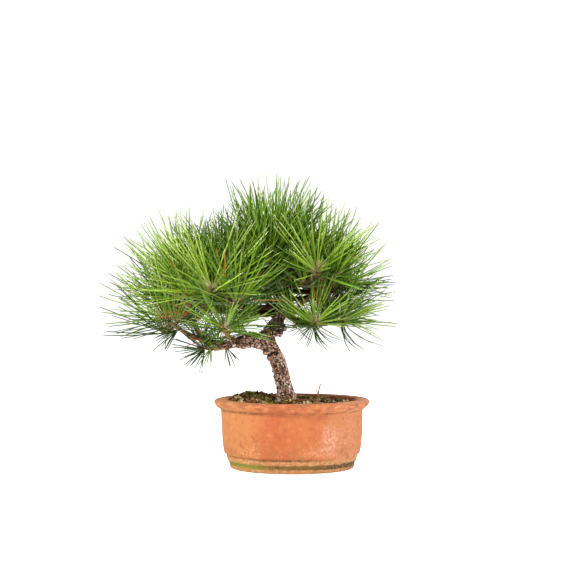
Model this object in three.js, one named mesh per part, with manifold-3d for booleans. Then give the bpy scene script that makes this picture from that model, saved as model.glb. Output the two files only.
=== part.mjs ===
// A Japanese black pine grown as a small potted tree, in an oval terracotta pot.
// Millimetres, +Z up, +X to the viewer's right and +Y away from the viewer.
// The origin is the middle of the pot's flat underside.

import * as THREE from "three";
import { mergeVertices } from "three/addons/utils/BufferGeometryUtils.js";
import Module from "manifold-3d";

const wasm = await Module();
wasm.setup();

// Driving dimensions of the whole.
const GAP = 0.3; // clear space between two pieces that touch on the real tree
const POT_HALF_WIDTH = 91.5; // outside of the wall, just under the lip
const POT_HEIGHT = 88.5;
const OVAL = 20; // how much shorter the pot's half depth is than its half width
const OVAL_FROM = 40; // inside this radius the oval shrinks evenly towards the middle
const WALL = 9;
const FLOOR = 10;
const LIP = 9; // how far the lip stands out from the wall
const POT_SIDES = 40;
const DRAIN = { radius: 7, apart: 76, sides: 16 };
const SOIL_TOP = 83; // level of the soil where it meets the wall
const FOOT = { x: -7, y: 0, z: 84.5, flare: 13.6 }; // where the trunk's flat cut meets the soil
const SEAT = 3; // how far the soil's flat seat reaches past the trunk's flare
const SOIL_RINGS = 7;
const MOUND = { x: -52, y: 12, height: 9.5, wide: 34, deep: 40 }; // the heap of moss on the left

// The trunk leans to the left, turns back at the left bough and climbs to the apex.
const TRUNK_SIDES = 12;
const TRUNK_RINGS = 27;
const TRUNK = [
  { at: [FOOT.x + 0.5, FOOT.y, FOOT.z - 3], radius: 12.2 },
  { at: [-9.4, 0.5, 100], radius: 10.7 },
  { at: [-13.2, 1, 120], radius: 10.1 },
  { at: [-18.2, 1, 136], radius: 10 },
  { at: [-26, 0, 149.5], radius: 10.4 },
  { at: [-31.5, -1, 162], radius: 10.6 },
  { at: [-27, 0, 174.5], radius: 8.8 },
  { at: [-17.5, 1, 187], radius: 7.4 },
  { at: [-12.6, 2, 202], radius: 7 },
  { at: [-11, 3, 224], radius: 6.3 },
  { at: [-13, 4, 240], radius: 5 },
  { at: [-17, 5, 254], radius: 3.9 },
];

// The thick left bough, cut back to a knob that the lowest twigs grow from.
const LEFT_BOUGH = [
  { at: [-31.5, -1, 161], radius: 10.4 },
  { at: [-48, -3, 163], radius: 9.9 },
  { at: [-62, -5, 162], radius: 9.2 },
  { at: [-74, -6, 159.5], radius: 6.2 },
  { at: [-88, -7, 157], radius: 5.2 },
  { at: [-102, -8, 153], radius: 4.7 },
];

// How a bough runs from its parent into the mass of needles at its end.
const BOUGH = { root: 4.6, tip: 3.1, sides: 6, rings: 5 };
const BOUGH_SHARE = 0.6; // the share of the way that is bough, and the rest is the mass's stem
const BOUGH_RISE = 0.35; // how much of its climb a bough makes while it leaves its parent
const STEM = { root: 2.9, tip: 2.2, sides: 4, rings: 4 };
const TWIG = { root: 2.1, tip: 1.7, sides: 3, rings: 3, sag: 7, sunk: 2 };

// A mass's side shoots: how far back from the leader they stand, how they fork from the
// stem, how much they turn away from the leader and upwards, and how uneven they are.
const SIDE = {
  back: 6, backMore: 12, fork: 0.3, forkMore: 0.5,
  away: 0.6, lift: 0.22, turn: 24, uneven: 0.2,
};

// Cut stubs on the trunk: a thick one at the fork's right and a small one low on the left.
const STUB_SIDES = 6;
const STUBS = [
  { at: [-22, -1, 173], to: [-11.5, -3, 174.5], radius: 5.2 },
  { at: [-16, 0, 122], to: [-27.5, -2, 122.5], radius: 1.7 },
];

// A spray: a slim spindle-shaped core, sunk on its twig, and needles drawn out of every
// second facet of it. around and rows: the core's facets. outer: how far the needles at its
// foot open from its axis, in degrees. lift: how much each needle turns upwards. lowest:
// a needle that would hang further down than this is left out. shorter: how much of its
// length a needle at the foot loses. uneven: how much lengths differ.
const SPRAY = { length: 20, radius: 4, sink: 4, around: 6, rows: 6 };
const NEEDLE = { outer: 98, lift: 0.3, lowest: -0.36, shorter: 0.12, uneven: 0.1 };

// How thick a needle counts against other masses, and against its own past its crowded root.
const CLEAR = { needle: 1.5, crossing: 0.3, free: 14 };
const KEEP = 0.52; // a needle cut at its mass's edge stays if this share of it is left
const SAMPLES = 8; // places along a needle where its mass's space is tested
const EDGE = 0.6; // needles stay this far inside their mass's own space
const HEART = 0.4; // a mass's heart lies this share of a needle in front of its shoots

// The masses. from: parent limb and place on it. tip: where the leading shoot stands.
// aim: the way it points. shoots, spread and roll: how many shoots, how far they stand
// from the leader and where round it the first one is. needle: length of its needles.
const MASSES = [
  {
    name: "left_front", from: ["trunk", 206], tip: [-98, -70, 228], aim: [-0.12, -0.6, 0.75],
    shoots: 3, spread: 34, roll: 160, needle: 88,
  },
  {
    name: "left_under", from: ["left_bough", 0.5], tip: [-83, -60, 182], aim: [0.1, -0.8, 0.5],
    shoots: 2, spread: 24, roll: 260, needle: 62,
  },
  {
    name: "left_low", from: ["left_bough", 1], tip: [-112, -12, 154], aim: [-0.9, -0.2, -0.1],
    shoots: 1, spread: 0, roll: 0, needle: 42,
  },
  {
    name: "left_outer", from: ["left_bough", 0.72], tip: [-162, -25, 194], aim: [-0.66, -0.15, 0.7],
    shoots: 3, spread: 26, roll: 200, needle: 74,
  },
  {
    name: "left_mid", from: ["trunk", 196], tip: [-136, 2, 230], aim: [-0.5, -0.1, 0.85],
    shoots: 3, spread: 28, roll: 220, needle: 84,
  },
  {
    name: "left_back", from: ["trunk", 203], tip: [-126, 56, 218], aim: [-0.42, 0.55, 0.75],
    shoots: 3, spread: 30, roll: 280, needle: 72,
  },
  {
    name: "left_top", from: ["trunk", 224], tip: [-92, 6, 254], aim: [-0.3, 0.05, 0.95],
    shoots: 4, spread: 32, roll: 240, needle: 78,
  },
  {
    name: "back_left", from: ["trunk", 214], tip: [-62, 72, 234], aim: [-0.15, 0.72, 0.7],
    shoots: 3, spread: 32, roll: 280, needle: 74,
  },
  {
    name: "apex", from: ["trunk", 254], tip: [-24, 4, 276], aim: [0.03, 0.04, 1],
    shoots: 4, spread: 30, roll: 80, needle: 84,
  },
  {
    name: "apex_front", from: ["trunk", 242], tip: [-30, -42, 262], aim: [-0.06, -0.5, 0.86],
    shoots: 3, spread: 30, roll: 40, needle: 84,
  },
  {
    name: "right_front", from: ["trunk", 230], tip: [31, -50, 254], aim: [0.25, -0.55, 0.8],
    shoots: 3, spread: 28, roll: 60, needle: 76,
  },
  {
    name: "right_top", from: ["trunk", 238], tip: [44, 18, 258], aim: [0.42, 0.12, 0.9],
    shoots: 4, spread: 28, roll: 280, needle: 74,
  },
  {
    name: "right_outer", from: ["trunk", 227], tip: [70, -2, 236], aim: [0.8, -0.05, 0.6],
    shoots: 3, spread: 24, roll: 140, needle: 58,
  },
  {
    name: "right_low", from: ["trunk", 208], tip: [64, -14, 191], aim: [0.75, -0.2, 0.5],
    shoots: 3, spread: 24, roll: 340, needle: 58,
  },
  {
    name: "right_inner", from: ["trunk", 198], tip: [28, -42, 188], aim: [0.15, -0.75, 0.55],
    shoots: 2, spread: 22, roll: 160, needle: 56,
  },
  {
    name: "right_back", from: ["trunk", 217], tip: [34, 60, 230], aim: [0.38, 0.66, 0.65],
    shoots: 3, spread: 30, roll: 80, needle: 72,
  },
  {
    name: "back_low", from: ["trunk", 202], tip: [-20, 66, 206], aim: [0, 0.8, 0.6],
    shoots: 3, spread: 28, roll: 300, needle: 62,
  },
];

const vec = (values) => new THREE.Vector3(...values);

// A seeded die: each call gives the next number from 0 to 1.
function dice(seed) {
  let state = 1 + seed;
  const roll = () => {
    state = (state * 48271) % 2147483647;
    return state / 2147483647;
  };
  for (let i = 0; i < 4; i++) roll();
  return roll;
}

// Geometry to solid and back, for joining and cutting.
function solidOf(geometry) {
  const bare = geometry.clone();
  bare.deleteAttribute("normal");
  bare.deleteAttribute("uv");
  const merged = mergeVertices(bare, 1e-4);
  return new wasm.Manifold(
    new wasm.Mesh({
      numProp: 3,
      vertProperties: new Float32Array(merged.attributes.position.array),
      triVerts: new Uint32Array(merged.index.array),
    }),
  );
}

function geometryOf(solid) {
  const mesh = solid.getMesh();
  const geometry = new THREE.BufferGeometry();
  geometry.setAttribute("position", new THREE.BufferAttribute(mesh.vertProperties, 3));
  geometry.setIndex(new THREE.BufferAttribute(mesh.triVerts, 1));
  geometry.computeVertexNormals();
  return geometry;
}

// A cut can leave scraps behind; only the main piece is kept.
const largestPiece = (solid) => solid.decompose().sort((a, b) => b.volume() - a.volume())[0];

// Rings along a path: place, radius and a frame that doesn't twist.
function ringsAlong(placeAt, radiusAt, count) {
  const rings = [];
  let across = null;
  for (let i = 0; i <= count; i++) {
    const t = i / count;
    const step = 0.5 / count;
    const ahead = placeAt(Math.min(1, t + step)).sub(placeAt(Math.max(0, t - step))).normalize();
    if (!across) across = new THREE.Vector3(1, 0, 0).addScaledVector(ahead, -ahead.x);
    if (across.lengthSq() < 0.05) across = new THREE.Vector3(0, 1, 0);
    across = across.clone().addScaledVector(ahead, -across.dot(ahead)).normalize();
    const beside = new THREE.Vector3().crossVectors(across, ahead);
    rings.push({ place: placeAt(t), ahead, across, beside, radius: radiusAt(t) });
  }
  return rings;
}

// A closed tapering tube: a cylinder whose rings are laid along the path.
function tube(placeAt, radiusAt, sides, count, swell = () => 1) {
  const geometry = new THREE.CylinderGeometry(1, 1, 1, sides, count);
  const rings = ringsAlong(placeAt, radiusAt, count);
  const position = geometry.attributes.position;
  for (let i = 0; i < position.count; i++) {
    const t = position.getY(i) + 0.5;
    const ring = rings[Math.round(t * count)];
    const x = position.getX(i);
    const z = position.getZ(i);
    const size = ring.radius * swell(t, Math.atan2(z, x));
    const place = ring.place.clone();
    place.addScaledVector(ring.across, x * size).addScaledVector(ring.beside, z * size);
    position.setXYZ(i, place.x, place.y, place.z);
  }
  return geometry;
}

// A limb through known points, with the radius that it has at each.
function limbThrough(points) {
  const curve = new THREE.CatmullRomCurve3(points.map((p) => vec(p.at)), false, "centripetal");
  const last = points.length - 1;
  return {
    placeAt: (t) => curve.getPoint(t),
    radiusAt: (t) => {
      const i = Math.min(last - 1, Math.floor(t * last));
      const share = t * last - i;
      return THREE.MathUtils.lerp(points[i].radius, points[i + 1].radius, share);
    },
  };
}

// Capsules that stand for limbs and needles where their clearance is tested.
function capsulesOf(placeAt, radiusAt, count, owner) {
  const list = [];
  for (let i = 0; i < count; i++) {
    const [a, b] = [i / count, (i + 1) / count];
    list.push({ a: placeAt(a), b: placeAt(b), radius: Math.max(radiusAt(a), radiusAt(b)), owner });
  }
  return list;
}

// The least distance between two segments.
function distance(p, q) {
  const d1 = p.b.clone().sub(p.a);
  const d2 = q.b.clone().sub(q.a);
  const r = p.a.clone().sub(q.a);
  const [a, e, f, c, b] = [d1.dot(d1), d2.dot(d2), d2.dot(r), d1.dot(r), d1.dot(d2)];
  const denominator = a * e - b * b;
  const clamp = (x) => THREE.MathUtils.clamp(x, 0, 1);
  let s = denominator > 1e-9 ? clamp((b * f - c * e) / denominator) : 0;
  let t = (b * s + f) / e;
  if (t < 0 || t > 1) {
    t = clamp(t);
    s = clamp((b * t - c) / a);
  }
  return r.addScaledVector(d1, s).addScaledVector(d2, -t).length();
}

const near = (p, q, space) => distance(p, q) < p.radius + q.radius + space;

// The pot and soil are turned on a wheel as circles and then pressed into an oval.
function pressOval(geometry) {
  const position = geometry.attributes.position;
  for (let i = 0; i < position.count; i++) {
    const [x, y] = [position.getX(i), position.getY(i)];
    const radius = Math.hypot(x, y);
    const shorter = radius > 0 ? 1 - (OVAL * Math.min(1, radius / OVAL_FROM)) / radius : 1;
    position.setY(i, y * shorter);
  }
  return geometry;
}

// Profile points are pairs of half width and height, and run from axis to axis.
function turned(profile) {
  const points = profile.map(([radius, height]) => new THREE.Vector2(radius, height));
  return new THREE.LatheGeometry(points, POT_SIDES).rotateX(Math.PI / 2);
}

function makePot() {
  const wall = POT_HALF_WIDTH;
  const inside = wall - WALL;
  const foot = wall - 13;
  const profile = [
    [0, 0],
    [foot, 0],
    [foot + 1.6, 1.8],
    [foot + 2.4, 7.4],
    [foot + 1.7, 8.3],
    [foot + 4, 9.2],
    [foot + 6.1, 16.4],
    [foot + 5.6, 18.2],
    [foot + 8, 19.4],
    [foot + 10, 29],
    [wall - 0.8, 46],
    [wall, 75.8],
    [wall + LIP * 0.45, 78.6],
    [wall + LIP * 0.93, 83.6],
    [wall + LIP, 86.3],
    [wall + LIP * 0.7, POT_HEIGHT],
    [inside + 1.5, POT_HEIGHT - 0.3],
    [inside, POT_HEIGHT - 2],
    [inside - 1, 46],
    [inside - 6, FLOOR + 5],
    [inside - 12, FLOOR],
    [0, FLOOR],
  ];
  let pot = solidOf(pressOval(turned(profile)));
  for (const side of [-1, 1]) {
    const drain = new THREE.CylinderGeometry(DRAIN.radius, DRAIN.radius, FLOOR * 3, DRAIN.sides);
    drain.rotateX(Math.PI / 2).translate((side * DRAIN.apart) / 2, 0, FLOOR / 2);
    pot = pot.subtract(solidOf(drain));
  }
  return pot;
}

// The soil's mossy top: a mound on the left and round the trunk, low on the right.
function soilHeight(x, y) {
  const [east, north] = [(x - MOUND.x) / MOUND.wide, (y - MOUND.y) / MOUND.deep];
  const mound = MOUND.height * Math.exp(-east * east - north * north);
  const level = Math.exp(-((Math.hypot(x - FOOT.x, y - FOOT.y) / (FOOT.flare + 3 * SEAT)) ** 4));
  const large = 1.5 * Math.sin(x * 0.21 + 1.3) * Math.cos(y * 0.24 - 0.4);
  const lumps = large + 0.9 * Math.sin(x * 0.43 - y * 0.37);
  const inside = POT_HALF_WIDTH - WALL;
  const flat = THREE.MathUtils.smoothstep(Math.hypot(x / inside, y / (inside - OVAL)), 0.86, 1);
  const open = (1 - flat) * (1 + mound + lumps);
  return THREE.MathUtils.lerp(SOIL_TOP + open, FOOT.z + 0.4, level);
}

function makeSoil() {
  const inside = POT_HALF_WIDTH - WALL - 1 - GAP;
  const profile = [
    [0, FLOOR + GAP],
    [inside - 11, FLOOR + GAP],
    [inside - 5, FLOOR + 5 + GAP],
    [inside, 46],
    [inside, SOIL_TOP],
  ];
  for (let i = SOIL_RINGS - 1; i >= 0; i--) profile.push([(inside * i) / SOIL_RINGS, SOIL_TOP]);
  const geometry = pressOval(turned(profile));
  const position = geometry.attributes.position;
  for (let i = 0; i < position.count; i++) {
    if (position.getZ(i) < SOIL_TOP - 0.01) continue;
    position.setZ(i, soilHeight(position.getX(i), position.getY(i)));
  }
  const clear = FOOT.flare + SEAT;
  const seat = new THREE.CylinderGeometry(clear, clear, 2 * clear, 16);
  seat.rotateX(Math.PI / 2).translate(FOOT.x, FOOT.y, FOOT.z - GAP + clear);
  return solidOf(geometry).subtract(solidOf(seat));
}

// The trunk swells into surface roots where it meets the soil.
function trunkSwell(t, angle) {
  const flare = Math.exp(-t * 26);
  return 1 + flare * (FOOT.flare / TRUNK[0].radius - 1 + 0.09 * Math.cos(3 * angle + 0.6));
}

function makeTrunk(trunk) {
  const whole = tube(trunk.placeAt, trunk.radiusAt, TRUNK_SIDES, TRUNK_RINGS, trunkSwell);
  const below = new THREE.BoxGeometry(60, 60, 20).translate(FOOT.x, FOOT.y, FOOT.z - 10);
  let solid = solidOf(whole);
  for (const stub of STUBS) {
    const placeAt = (t) => vec(stub.at).lerp(vec(stub.to), t);
    const radiusAt = (t) => stub.radius * (1.1 - 0.2 * t);
    solid = solid.add(solidOf(tube(placeAt, radiusAt, STUB_SIDES, 1)));
  }
  return solid.subtract(solidOf(below));
}

// Where a bough leaves its parent: the trunk by height, the left bough by share of its length.
function forkOn(limbs, [parent, place]) {
  const limb = limbs.get(parent);
  if (parent !== "trunk") return limb.placeAt(place);
  let [low, high] = [0, 1];
  for (let i = 0; i < 30; i++) {
    const middle = (low + high) / 2;
    if (limb.placeAt(middle).z < place) low = middle;
    else high = middle;
  }
  return limb.placeAt(low);
}

// One smooth way from the fork to the leading shoot, level at first and then along the aim.
function wayOf(fork, mass) {
  const tip = vec(mass.tip);
  const aim = vec(mass.aim).normalize();
  const reach = tip.distanceTo(fork) / 3;
  const out = tip.clone().sub(fork);
  out.z *= BOUGH_RISE;
  const first = fork.clone().addScaledVector(out.normalize(), reach);
  return new THREE.CubicBezierCurve3(fork, first, tip.clone().addScaledVector(aim, -reach), tip);
}

// The shoots of a mass: the leader at the tip, and the rest spread evenly round it.
function shootsOf(mass, roll) {
  const aim = vec(mass.aim).normalize();
  const side = new THREE.Vector3(-aim.y, aim.x, 0);
  if (side.lengthSq() < 0.02) side.set(1, 0, 0);
  side.normalize();
  const over = new THREE.Vector3().crossVectors(aim, side).normalize();
  const shoots = [{ base: vec(mass.tip), aim, fork: 1 }];
  const others = mass.shoots - 1;
  for (let i = 0; i < others; i++) {
    const angle = THREE.MathUtils.degToRad(mass.roll + (360 * i) / others + SIDE.turn * (roll() - 0.5));
    const away = side.clone().multiplyScalar(Math.cos(angle)).addScaledVector(over, Math.sin(angle));
    const base = vec(mass.tip).addScaledVector(away, mass.spread * (1 + SIDE.uneven * (roll() - 0.5)));
    base.addScaledVector(aim, -SIDE.back - SIDE.backMore * roll());
    const way = aim.clone().addScaledVector(away, SIDE.away);
    way.z += SIDE.lift;
    shoots.push({ base, aim: way.normalize(), fork: SIDE.fork + SIDE.forkMore * roll() });
  }
  return shoots;
}

// The core of a shoot's spray: a ball drawn out along the shoot.
function coreOf(shoot) {
  const ball = new THREE.SphereGeometry(1, SPRAY.around, SPRAY.rows);
  ball.deleteAttribute("normal");
  ball.deleteAttribute("uv");
  const core = mergeVertices(ball, 1e-4);
  const turn = new THREE.Quaternion().setFromUnitVectors(new THREE.Vector3(0, 1, 0), shoot.aim);
  return { core, turn };
}

// Each needle's direction copies its place on the ball, closed up to a cap that opens forwards.
function needlesOf(shoot, mass, roll) {
  const { core, turn } = coreOf(shoot);
  const cap = 1 - Math.cos(THREE.MathUtils.degToRad(NEEDLE.outer));
  const position = core.attributes.position;
  const corner = new THREE.Vector3();
  const needles = [];
  for (let facet = 0; facet < core.index.count / 3; facet += 2) {
    const middle = new THREE.Vector3();
    for (let k = 0; k < 3; k++) {
      corner.fromBufferAttribute(position, core.index.getX(3 * facet + k));
      middle.addScaledVector(corner, 1 / 3);
    }
    const a = onCore(middle).applyQuaternion(turn).add(shoot.base);
    const height = 1 - ((1 - middle.y / middle.length()) / 2) * cap;
    const away = Math.sqrt(1 - height * height) / Math.hypot(middle.x, middle.z);
    const way = new THREE.Vector3(middle.x * away, height, middle.z * away).applyQuaternion(turn);
    way.z += NEEDLE.lift;
    if (way.normalize().z < NEEDLE.lowest) continue;
    const uneven = NEEDLE.uneven * (roll() - 0.5);
    const length = mass.needle * (1 - NEEDLE.shorter * (1 - height) + uneven);
    const b = a.clone().addScaledVector(way, length);
    needles.push({ facet, a, b, radius: CLEAR.needle });
  }
  return needles;
}

function onCore(place) {
  const along = ((place.y + 1) / 2) * SPRAY.length - SPRAY.sink;
  return new THREE.Vector3(place.x * SPRAY.radius, along, place.z * SPRAY.radius);
}

// The core and its needles as one closed body.
function sprayOf(shoot, needles) {
  const { core, turn } = coreOf(shoot);
  const points = [];
  const corner = new THREE.Vector3();
  for (let i = 0; i < core.attributes.position.count; i++) {
    corner.fromBufferAttribute(core.attributes.position, i);
    points.push(onCore(corner).applyQuaternion(turn).add(shoot.base));
  }
  const faces = [];
  for (let facet = 0; facet < core.index.count / 3; facet++) {
    const [a, b, c] = [0, 1, 2].map((k) => core.index.getX(3 * facet + k));
    const needle = needles.find((other) => other.facet === facet);
    if (needle) {
      const tip = points.push(needle.b) - 1;
      faces.push(a, b, tip, b, c, tip, c, a, tip);
    } else {
      faces.push(a, b, c);
    }
  }
  const geometry = new THREE.BufferGeometry().setFromPoints(points);
  return geometry.setIndex(faces);
}

// The apex and the lowest left mass grow straight on from the end of their limb.
const onLimbEnd = (mass) => mass.name === "apex" || mass.name === "left_low";

// Plans every mass first, so that each one's space is known before its needles are cut to it.
function planMasses(limbs) {
  return MASSES.map((mass, index) => {
    const roll = dice(index * 7919);
    const fork = forkOn(limbs, mass.from);
    const whole = wayOf(fork, mass);
    const share = onLimbEnd(mass) ? 0 : BOUGH_SHARE;
    const shoots = shootsOf(mass, roll);
    const gap = GAP / whole.getLength();
    const stemAt = (t) => whole.getPoint(share + gap + (1 - share - gap) * t);
    const heart = new THREE.Vector3();
    for (const shoot of shoots) {
      heart.addScaledVector(shoot.base, 1 / shoots.length);
      heart.addScaledVector(shoot.aim, (HEART * mass.needle) / shoots.length);
    }
    return { mass, roll, whole, share, shoots, stemAt, heart };
  });
}

// A place is in a mass's own space where that mass's heart is the nearest of all hearts.
function inSpace(place, plan, plans) {
  const limit = place.distanceTo(plan.heart) + 2 * EDGE;
  return plans.every((other) => other === plan || place.distanceTo(other.heart) > limit);
}

// The needle as far as it stays in its mass's space, or null if too little would be left.
function cutToSpace(needle, plan, plans) {
  let kept = 1;
  for (let i = 1; i <= SAMPLES; i++) {
    const place = needle.a.clone().lerp(needle.b, i / SAMPLES);
    if (inSpace(place, plan, plans)) continue;
    kept = (i - 1) / SAMPLES;
    break;
  }
  if (kept < KEEP) return null;
  return { ...needle, b: needle.a.clone().lerp(needle.b, kept) };
}

// A mass's wood: its stem and a twig to each side shoot, with the rods that needles keep off.
function woodOf(plan) {
  const { mass, shoots, stemAt } = plan;
  const stemRadius = (t) => THREE.MathUtils.lerp(STEM.root, STEM.tip, t);
  const twigRadius = (t) => THREE.MathUtils.lerp(TWIG.root, TWIG.tip, t);
  const rods = capsulesOf(stemAt, stemRadius, STEM.rings, mass.name);
  const solids = [solidOf(tube(stemAt, stemRadius, STEM.sides, STEM.rings))];
  for (const shoot of shoots) {
    if (shoot.fork < 1) {
      const fork = stemAt(shoot.fork);
      const bend = fork.clone().lerp(shoot.base, 0.55).addScaledVector(shoot.aim, -TWIG.sag);
      const end = shoot.base.clone().addScaledVector(shoot.aim, TWIG.sunk);
      const twig = new THREE.QuadraticBezierCurve3(fork, bend, end);
      const twigAt = (t) => twig.getPoint(t);
      solids.push(solidOf(tube(twigAt, twigRadius, TWIG.sides, TWIG.rings)));
      rods.push(...capsulesOf(twigAt, twigRadius, TWIG.rings, mass.name));
    }
    const coreAt = (t) => shoot.base.clone().addScaledVector(shoot.aim, SPRAY.length * t);
    rods.push(...capsulesOf(coreAt, () => SPRAY.radius, 1, mass.name));
  }
  return { solids, rods };
}

// The part of a needle past its crowded root.
function freeOf(needle) {
  const share = CLEAR.free / needle.a.distanceTo(needle.b);
  return { ...needle, a: needle.a.clone().lerp(needle.b, share), radius: CLEAR.crossing };
}

function growMasses(limbs, limbRods) {
  const plans = planMasses(limbs);
  for (const plan of plans) Object.assign(plan, woodOf(plan));
  const rods = [...limbRods, ...plans.flatMap((plan) => plan.rods)];
  const grown = [];
  for (const plan of plans) {
    const foreign = rods.filter((rod) => rod.owner !== plan.mass.name);
    const own = [...plan.rods];
    const others = [...grown];
    for (const shoot of plan.shoots) {
      shoot.needles = needlesOf(shoot, plan.mass, plan.roll)
        .map((needle) => cutToSpace(needle, plan, plans))
        .filter((needle) => needle && !foreign.some((rod) => near(needle, rod, GAP)))
        .filter((needle) => !others.some((other) => near(needle, other, GAP)))
        .filter((needle) => !own.some((rod) => near(freeOf(needle), rod, 0)));
      own.push(...shoot.needles.map(freeOf));
      grown.push(...shoot.needles);
    }
  }
  return plans;
}

// Looks
const material = (color, roughness) => new THREE.MeshStandardMaterial({ color, roughness, metalness: 0 });
const terracotta = material(0xc9713f, 0.85);
const mould = material(0x4a3b26, 0.95);
const bark = material(0x7b6152, 0.9);
const needleGreen = material(0x5c8a2e, 0.55);

const tree = new THREE.Group();

function add(name, solid, look) {
  const mesh = new THREE.Mesh(geometryOf(solid), look);
  mesh.name = name;
  tree.add(mesh);
}

const trunk = limbThrough(TRUNK);
const leftBough = limbThrough(LEFT_BOUGH);
const limbs = new Map([
  ["trunk", trunk],
  ["left_bough", leftBough],
]);

add("pot", makePot(), terracotta);
add("soil", makeSoil(), mould);
add("trunk", makeTrunk(trunk), bark);

// Solids a little larger than the limbs, which the later boughs are cut clear of.
const thicker = (radiusAt) => (t) => radiusAt(t) + GAP;
const cutters = [
  solidOf(tube(trunk.placeAt, thicker(trunk.radiusAt), TRUNK_SIDES, TRUNK_RINGS, trunkSwell)),
];

function addLimb(name, placeAt, radiusAt, sides, rings) {
  let solid = solidOf(tube(placeAt, radiusAt, sides, rings));
  for (const cutter of cutters) solid = solid.subtract(cutter);
  add(name, largestPiece(solid), bark);
  cutters.push(solidOf(tube(placeAt, thicker(radiusAt), sides, rings)));
}

addLimb("left_bough", leftBough.placeAt, leftBough.radiusAt, 10, 12);
const limbRods = [
  ...capsulesOf(trunk.placeAt, trunk.radiusAt, 20, "trunk"),
  ...capsulesOf(leftBough.placeAt, leftBough.radiusAt, 8, "left_bough"),
];

const boughRadius = (t) => THREE.MathUtils.lerp(BOUGH.root, BOUGH.tip, t);
for (const plan of planMasses(limbs)) {
  if (!plan.share) continue;
  const placeAt = (t) => plan.whole.getPoint(plan.share * t);
  addLimb(`bough_${plan.mass.name}`, placeAt, boughRadius, BOUGH.sides, BOUGH.rings);
  limbRods.push(...capsulesOf(placeAt, boughRadius, 6, `bough_${plan.mass.name}`));
}

for (const plan of growMasses(limbs, limbRods)) {
  let solid = plan.solids[0];
  for (const wood of plan.solids.slice(1)) solid = solid.add(wood);
  for (const shoot of plan.shoots) solid = solid.add(solidOf(sprayOf(shoot, shoot.needles)));
  for (const cutter of cutters) solid = solid.subtract(cutter);
  add(`needles_${plan.mass.name}`, largestPiece(solid), needleGreen);
}

export default tree;
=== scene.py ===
"""A Japanese black pine trained as a small potted tree, in an oval terracotta pot.

Sizes are millimetres in the shared frame, and meshes are written in metres: +Z up, +X to the
viewer's right, +Y away from the viewer, the origin in the middle of the pot's flat underside.
"""

import logging
import math
from collections.abc import Callable
from dataclasses import dataclass, field, replace
from enum import Enum
from functools import reduce

import bpy
import numpy as np
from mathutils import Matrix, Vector

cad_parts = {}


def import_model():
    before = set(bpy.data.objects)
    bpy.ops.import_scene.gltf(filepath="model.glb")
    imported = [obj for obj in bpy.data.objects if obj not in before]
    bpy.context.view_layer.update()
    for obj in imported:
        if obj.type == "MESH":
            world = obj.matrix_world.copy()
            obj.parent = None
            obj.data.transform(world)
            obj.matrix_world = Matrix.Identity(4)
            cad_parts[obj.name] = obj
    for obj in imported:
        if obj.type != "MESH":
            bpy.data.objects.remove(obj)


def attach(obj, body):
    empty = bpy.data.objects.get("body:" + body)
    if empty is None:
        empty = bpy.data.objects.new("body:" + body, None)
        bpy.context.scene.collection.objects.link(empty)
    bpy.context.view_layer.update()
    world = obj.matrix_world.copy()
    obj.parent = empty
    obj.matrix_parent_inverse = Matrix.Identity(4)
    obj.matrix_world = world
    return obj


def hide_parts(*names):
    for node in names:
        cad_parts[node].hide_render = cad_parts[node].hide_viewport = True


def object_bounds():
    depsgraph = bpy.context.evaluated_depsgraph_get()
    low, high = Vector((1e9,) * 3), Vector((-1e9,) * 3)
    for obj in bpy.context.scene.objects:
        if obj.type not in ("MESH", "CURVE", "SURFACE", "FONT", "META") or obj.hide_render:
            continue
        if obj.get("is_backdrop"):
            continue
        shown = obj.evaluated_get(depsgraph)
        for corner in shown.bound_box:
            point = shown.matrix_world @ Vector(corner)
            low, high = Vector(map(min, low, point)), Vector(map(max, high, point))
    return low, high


Array = np.ndarray
Random = np.random.Generator
Triple = tuple[float, float, float]
Colour = tuple[float, float, float, float]
Material = bpy.types.Material
Node = bpy.types.Node
Socket = bpy.types.NodeSocket
Tree = bpy.types.NodeTree
Tint = Socket | str
Layers = tuple[tuple[Tint | float, ...], ...]
Inputs = dict[str | int, object]
Relief = tuple[Array, Array, Array]

log = logging.getLogger("pine")

MM = 0.001
BODY = "root"
CAMERA_AT = (0, -1390, 226)
UP = np.array([0.0, 0.0, 1.0])
RIGHT = np.array([1.0, 0.0, 0.0])
AWAY = np.array([0.0, 1.0, 0.0])
GOLDEN_ANGLE = math.pi * (3 - math.sqrt(5))


def unit(vectors: Array) -> Array:
    """Gives each vector the length one."""
    return vectors / np.linalg.norm(vectors, axis=-1, keepdims=True)


def smooth(low: float, high: float, values: Array) -> Array:
    """Rises from 0 at low to 1 at high by three shares squared less two shares cubed."""
    share = np.clip((values - low) / (high - low), 0, 1)
    return share * share * (3 - 2 * share)


def blend(first: Array | float, second: Array | float, share: Array | float) -> Array | float:
    """Goes in a straight line from first at share 0 to second at share 1."""
    return first + (second - first) * share


def even_angles(count: int) -> Array:
    """Angles that divide a whole turn evenly, in radians."""
    return 2 * math.pi * np.arange(count) / count


def outwards(angle: Array) -> Array:
    """Level unit vectors that point at the given angles, (..., 3)."""
    return np.stack([np.cos(angle), np.sin(angle), 0 * angle], axis=-1)


def run_along(line: Array) -> Array:
    """How far along a line of places each one lies: the lengths of the steps, added up."""
    return np.concatenate([[0], np.cumsum(np.linalg.norm(np.diff(line, axis=0), axis=1))])


def circling(aim: Array, turn: Array | float) -> Array:
    """Unit vectors across an aim, turned about it.

    Formula: the turn's cosine times a level vector across the aim, plus its sine times the
    vector across both.

    Args:
        aim: The aim, a unit vector.
        turn: One angle or several, in radians.

    Returns:
        One vector, or one to each angle, (n, 3).
    """
    level = np.array([-aim[1], aim[0], 0.0])
    side = unit(RIGHT if level @ level < 0.02 else level)
    over = unit(np.cross(aim, side))
    turn = np.asarray(turn)[..., None]
    return np.cos(turn) * side + np.sin(turn) * over


# Noise


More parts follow.
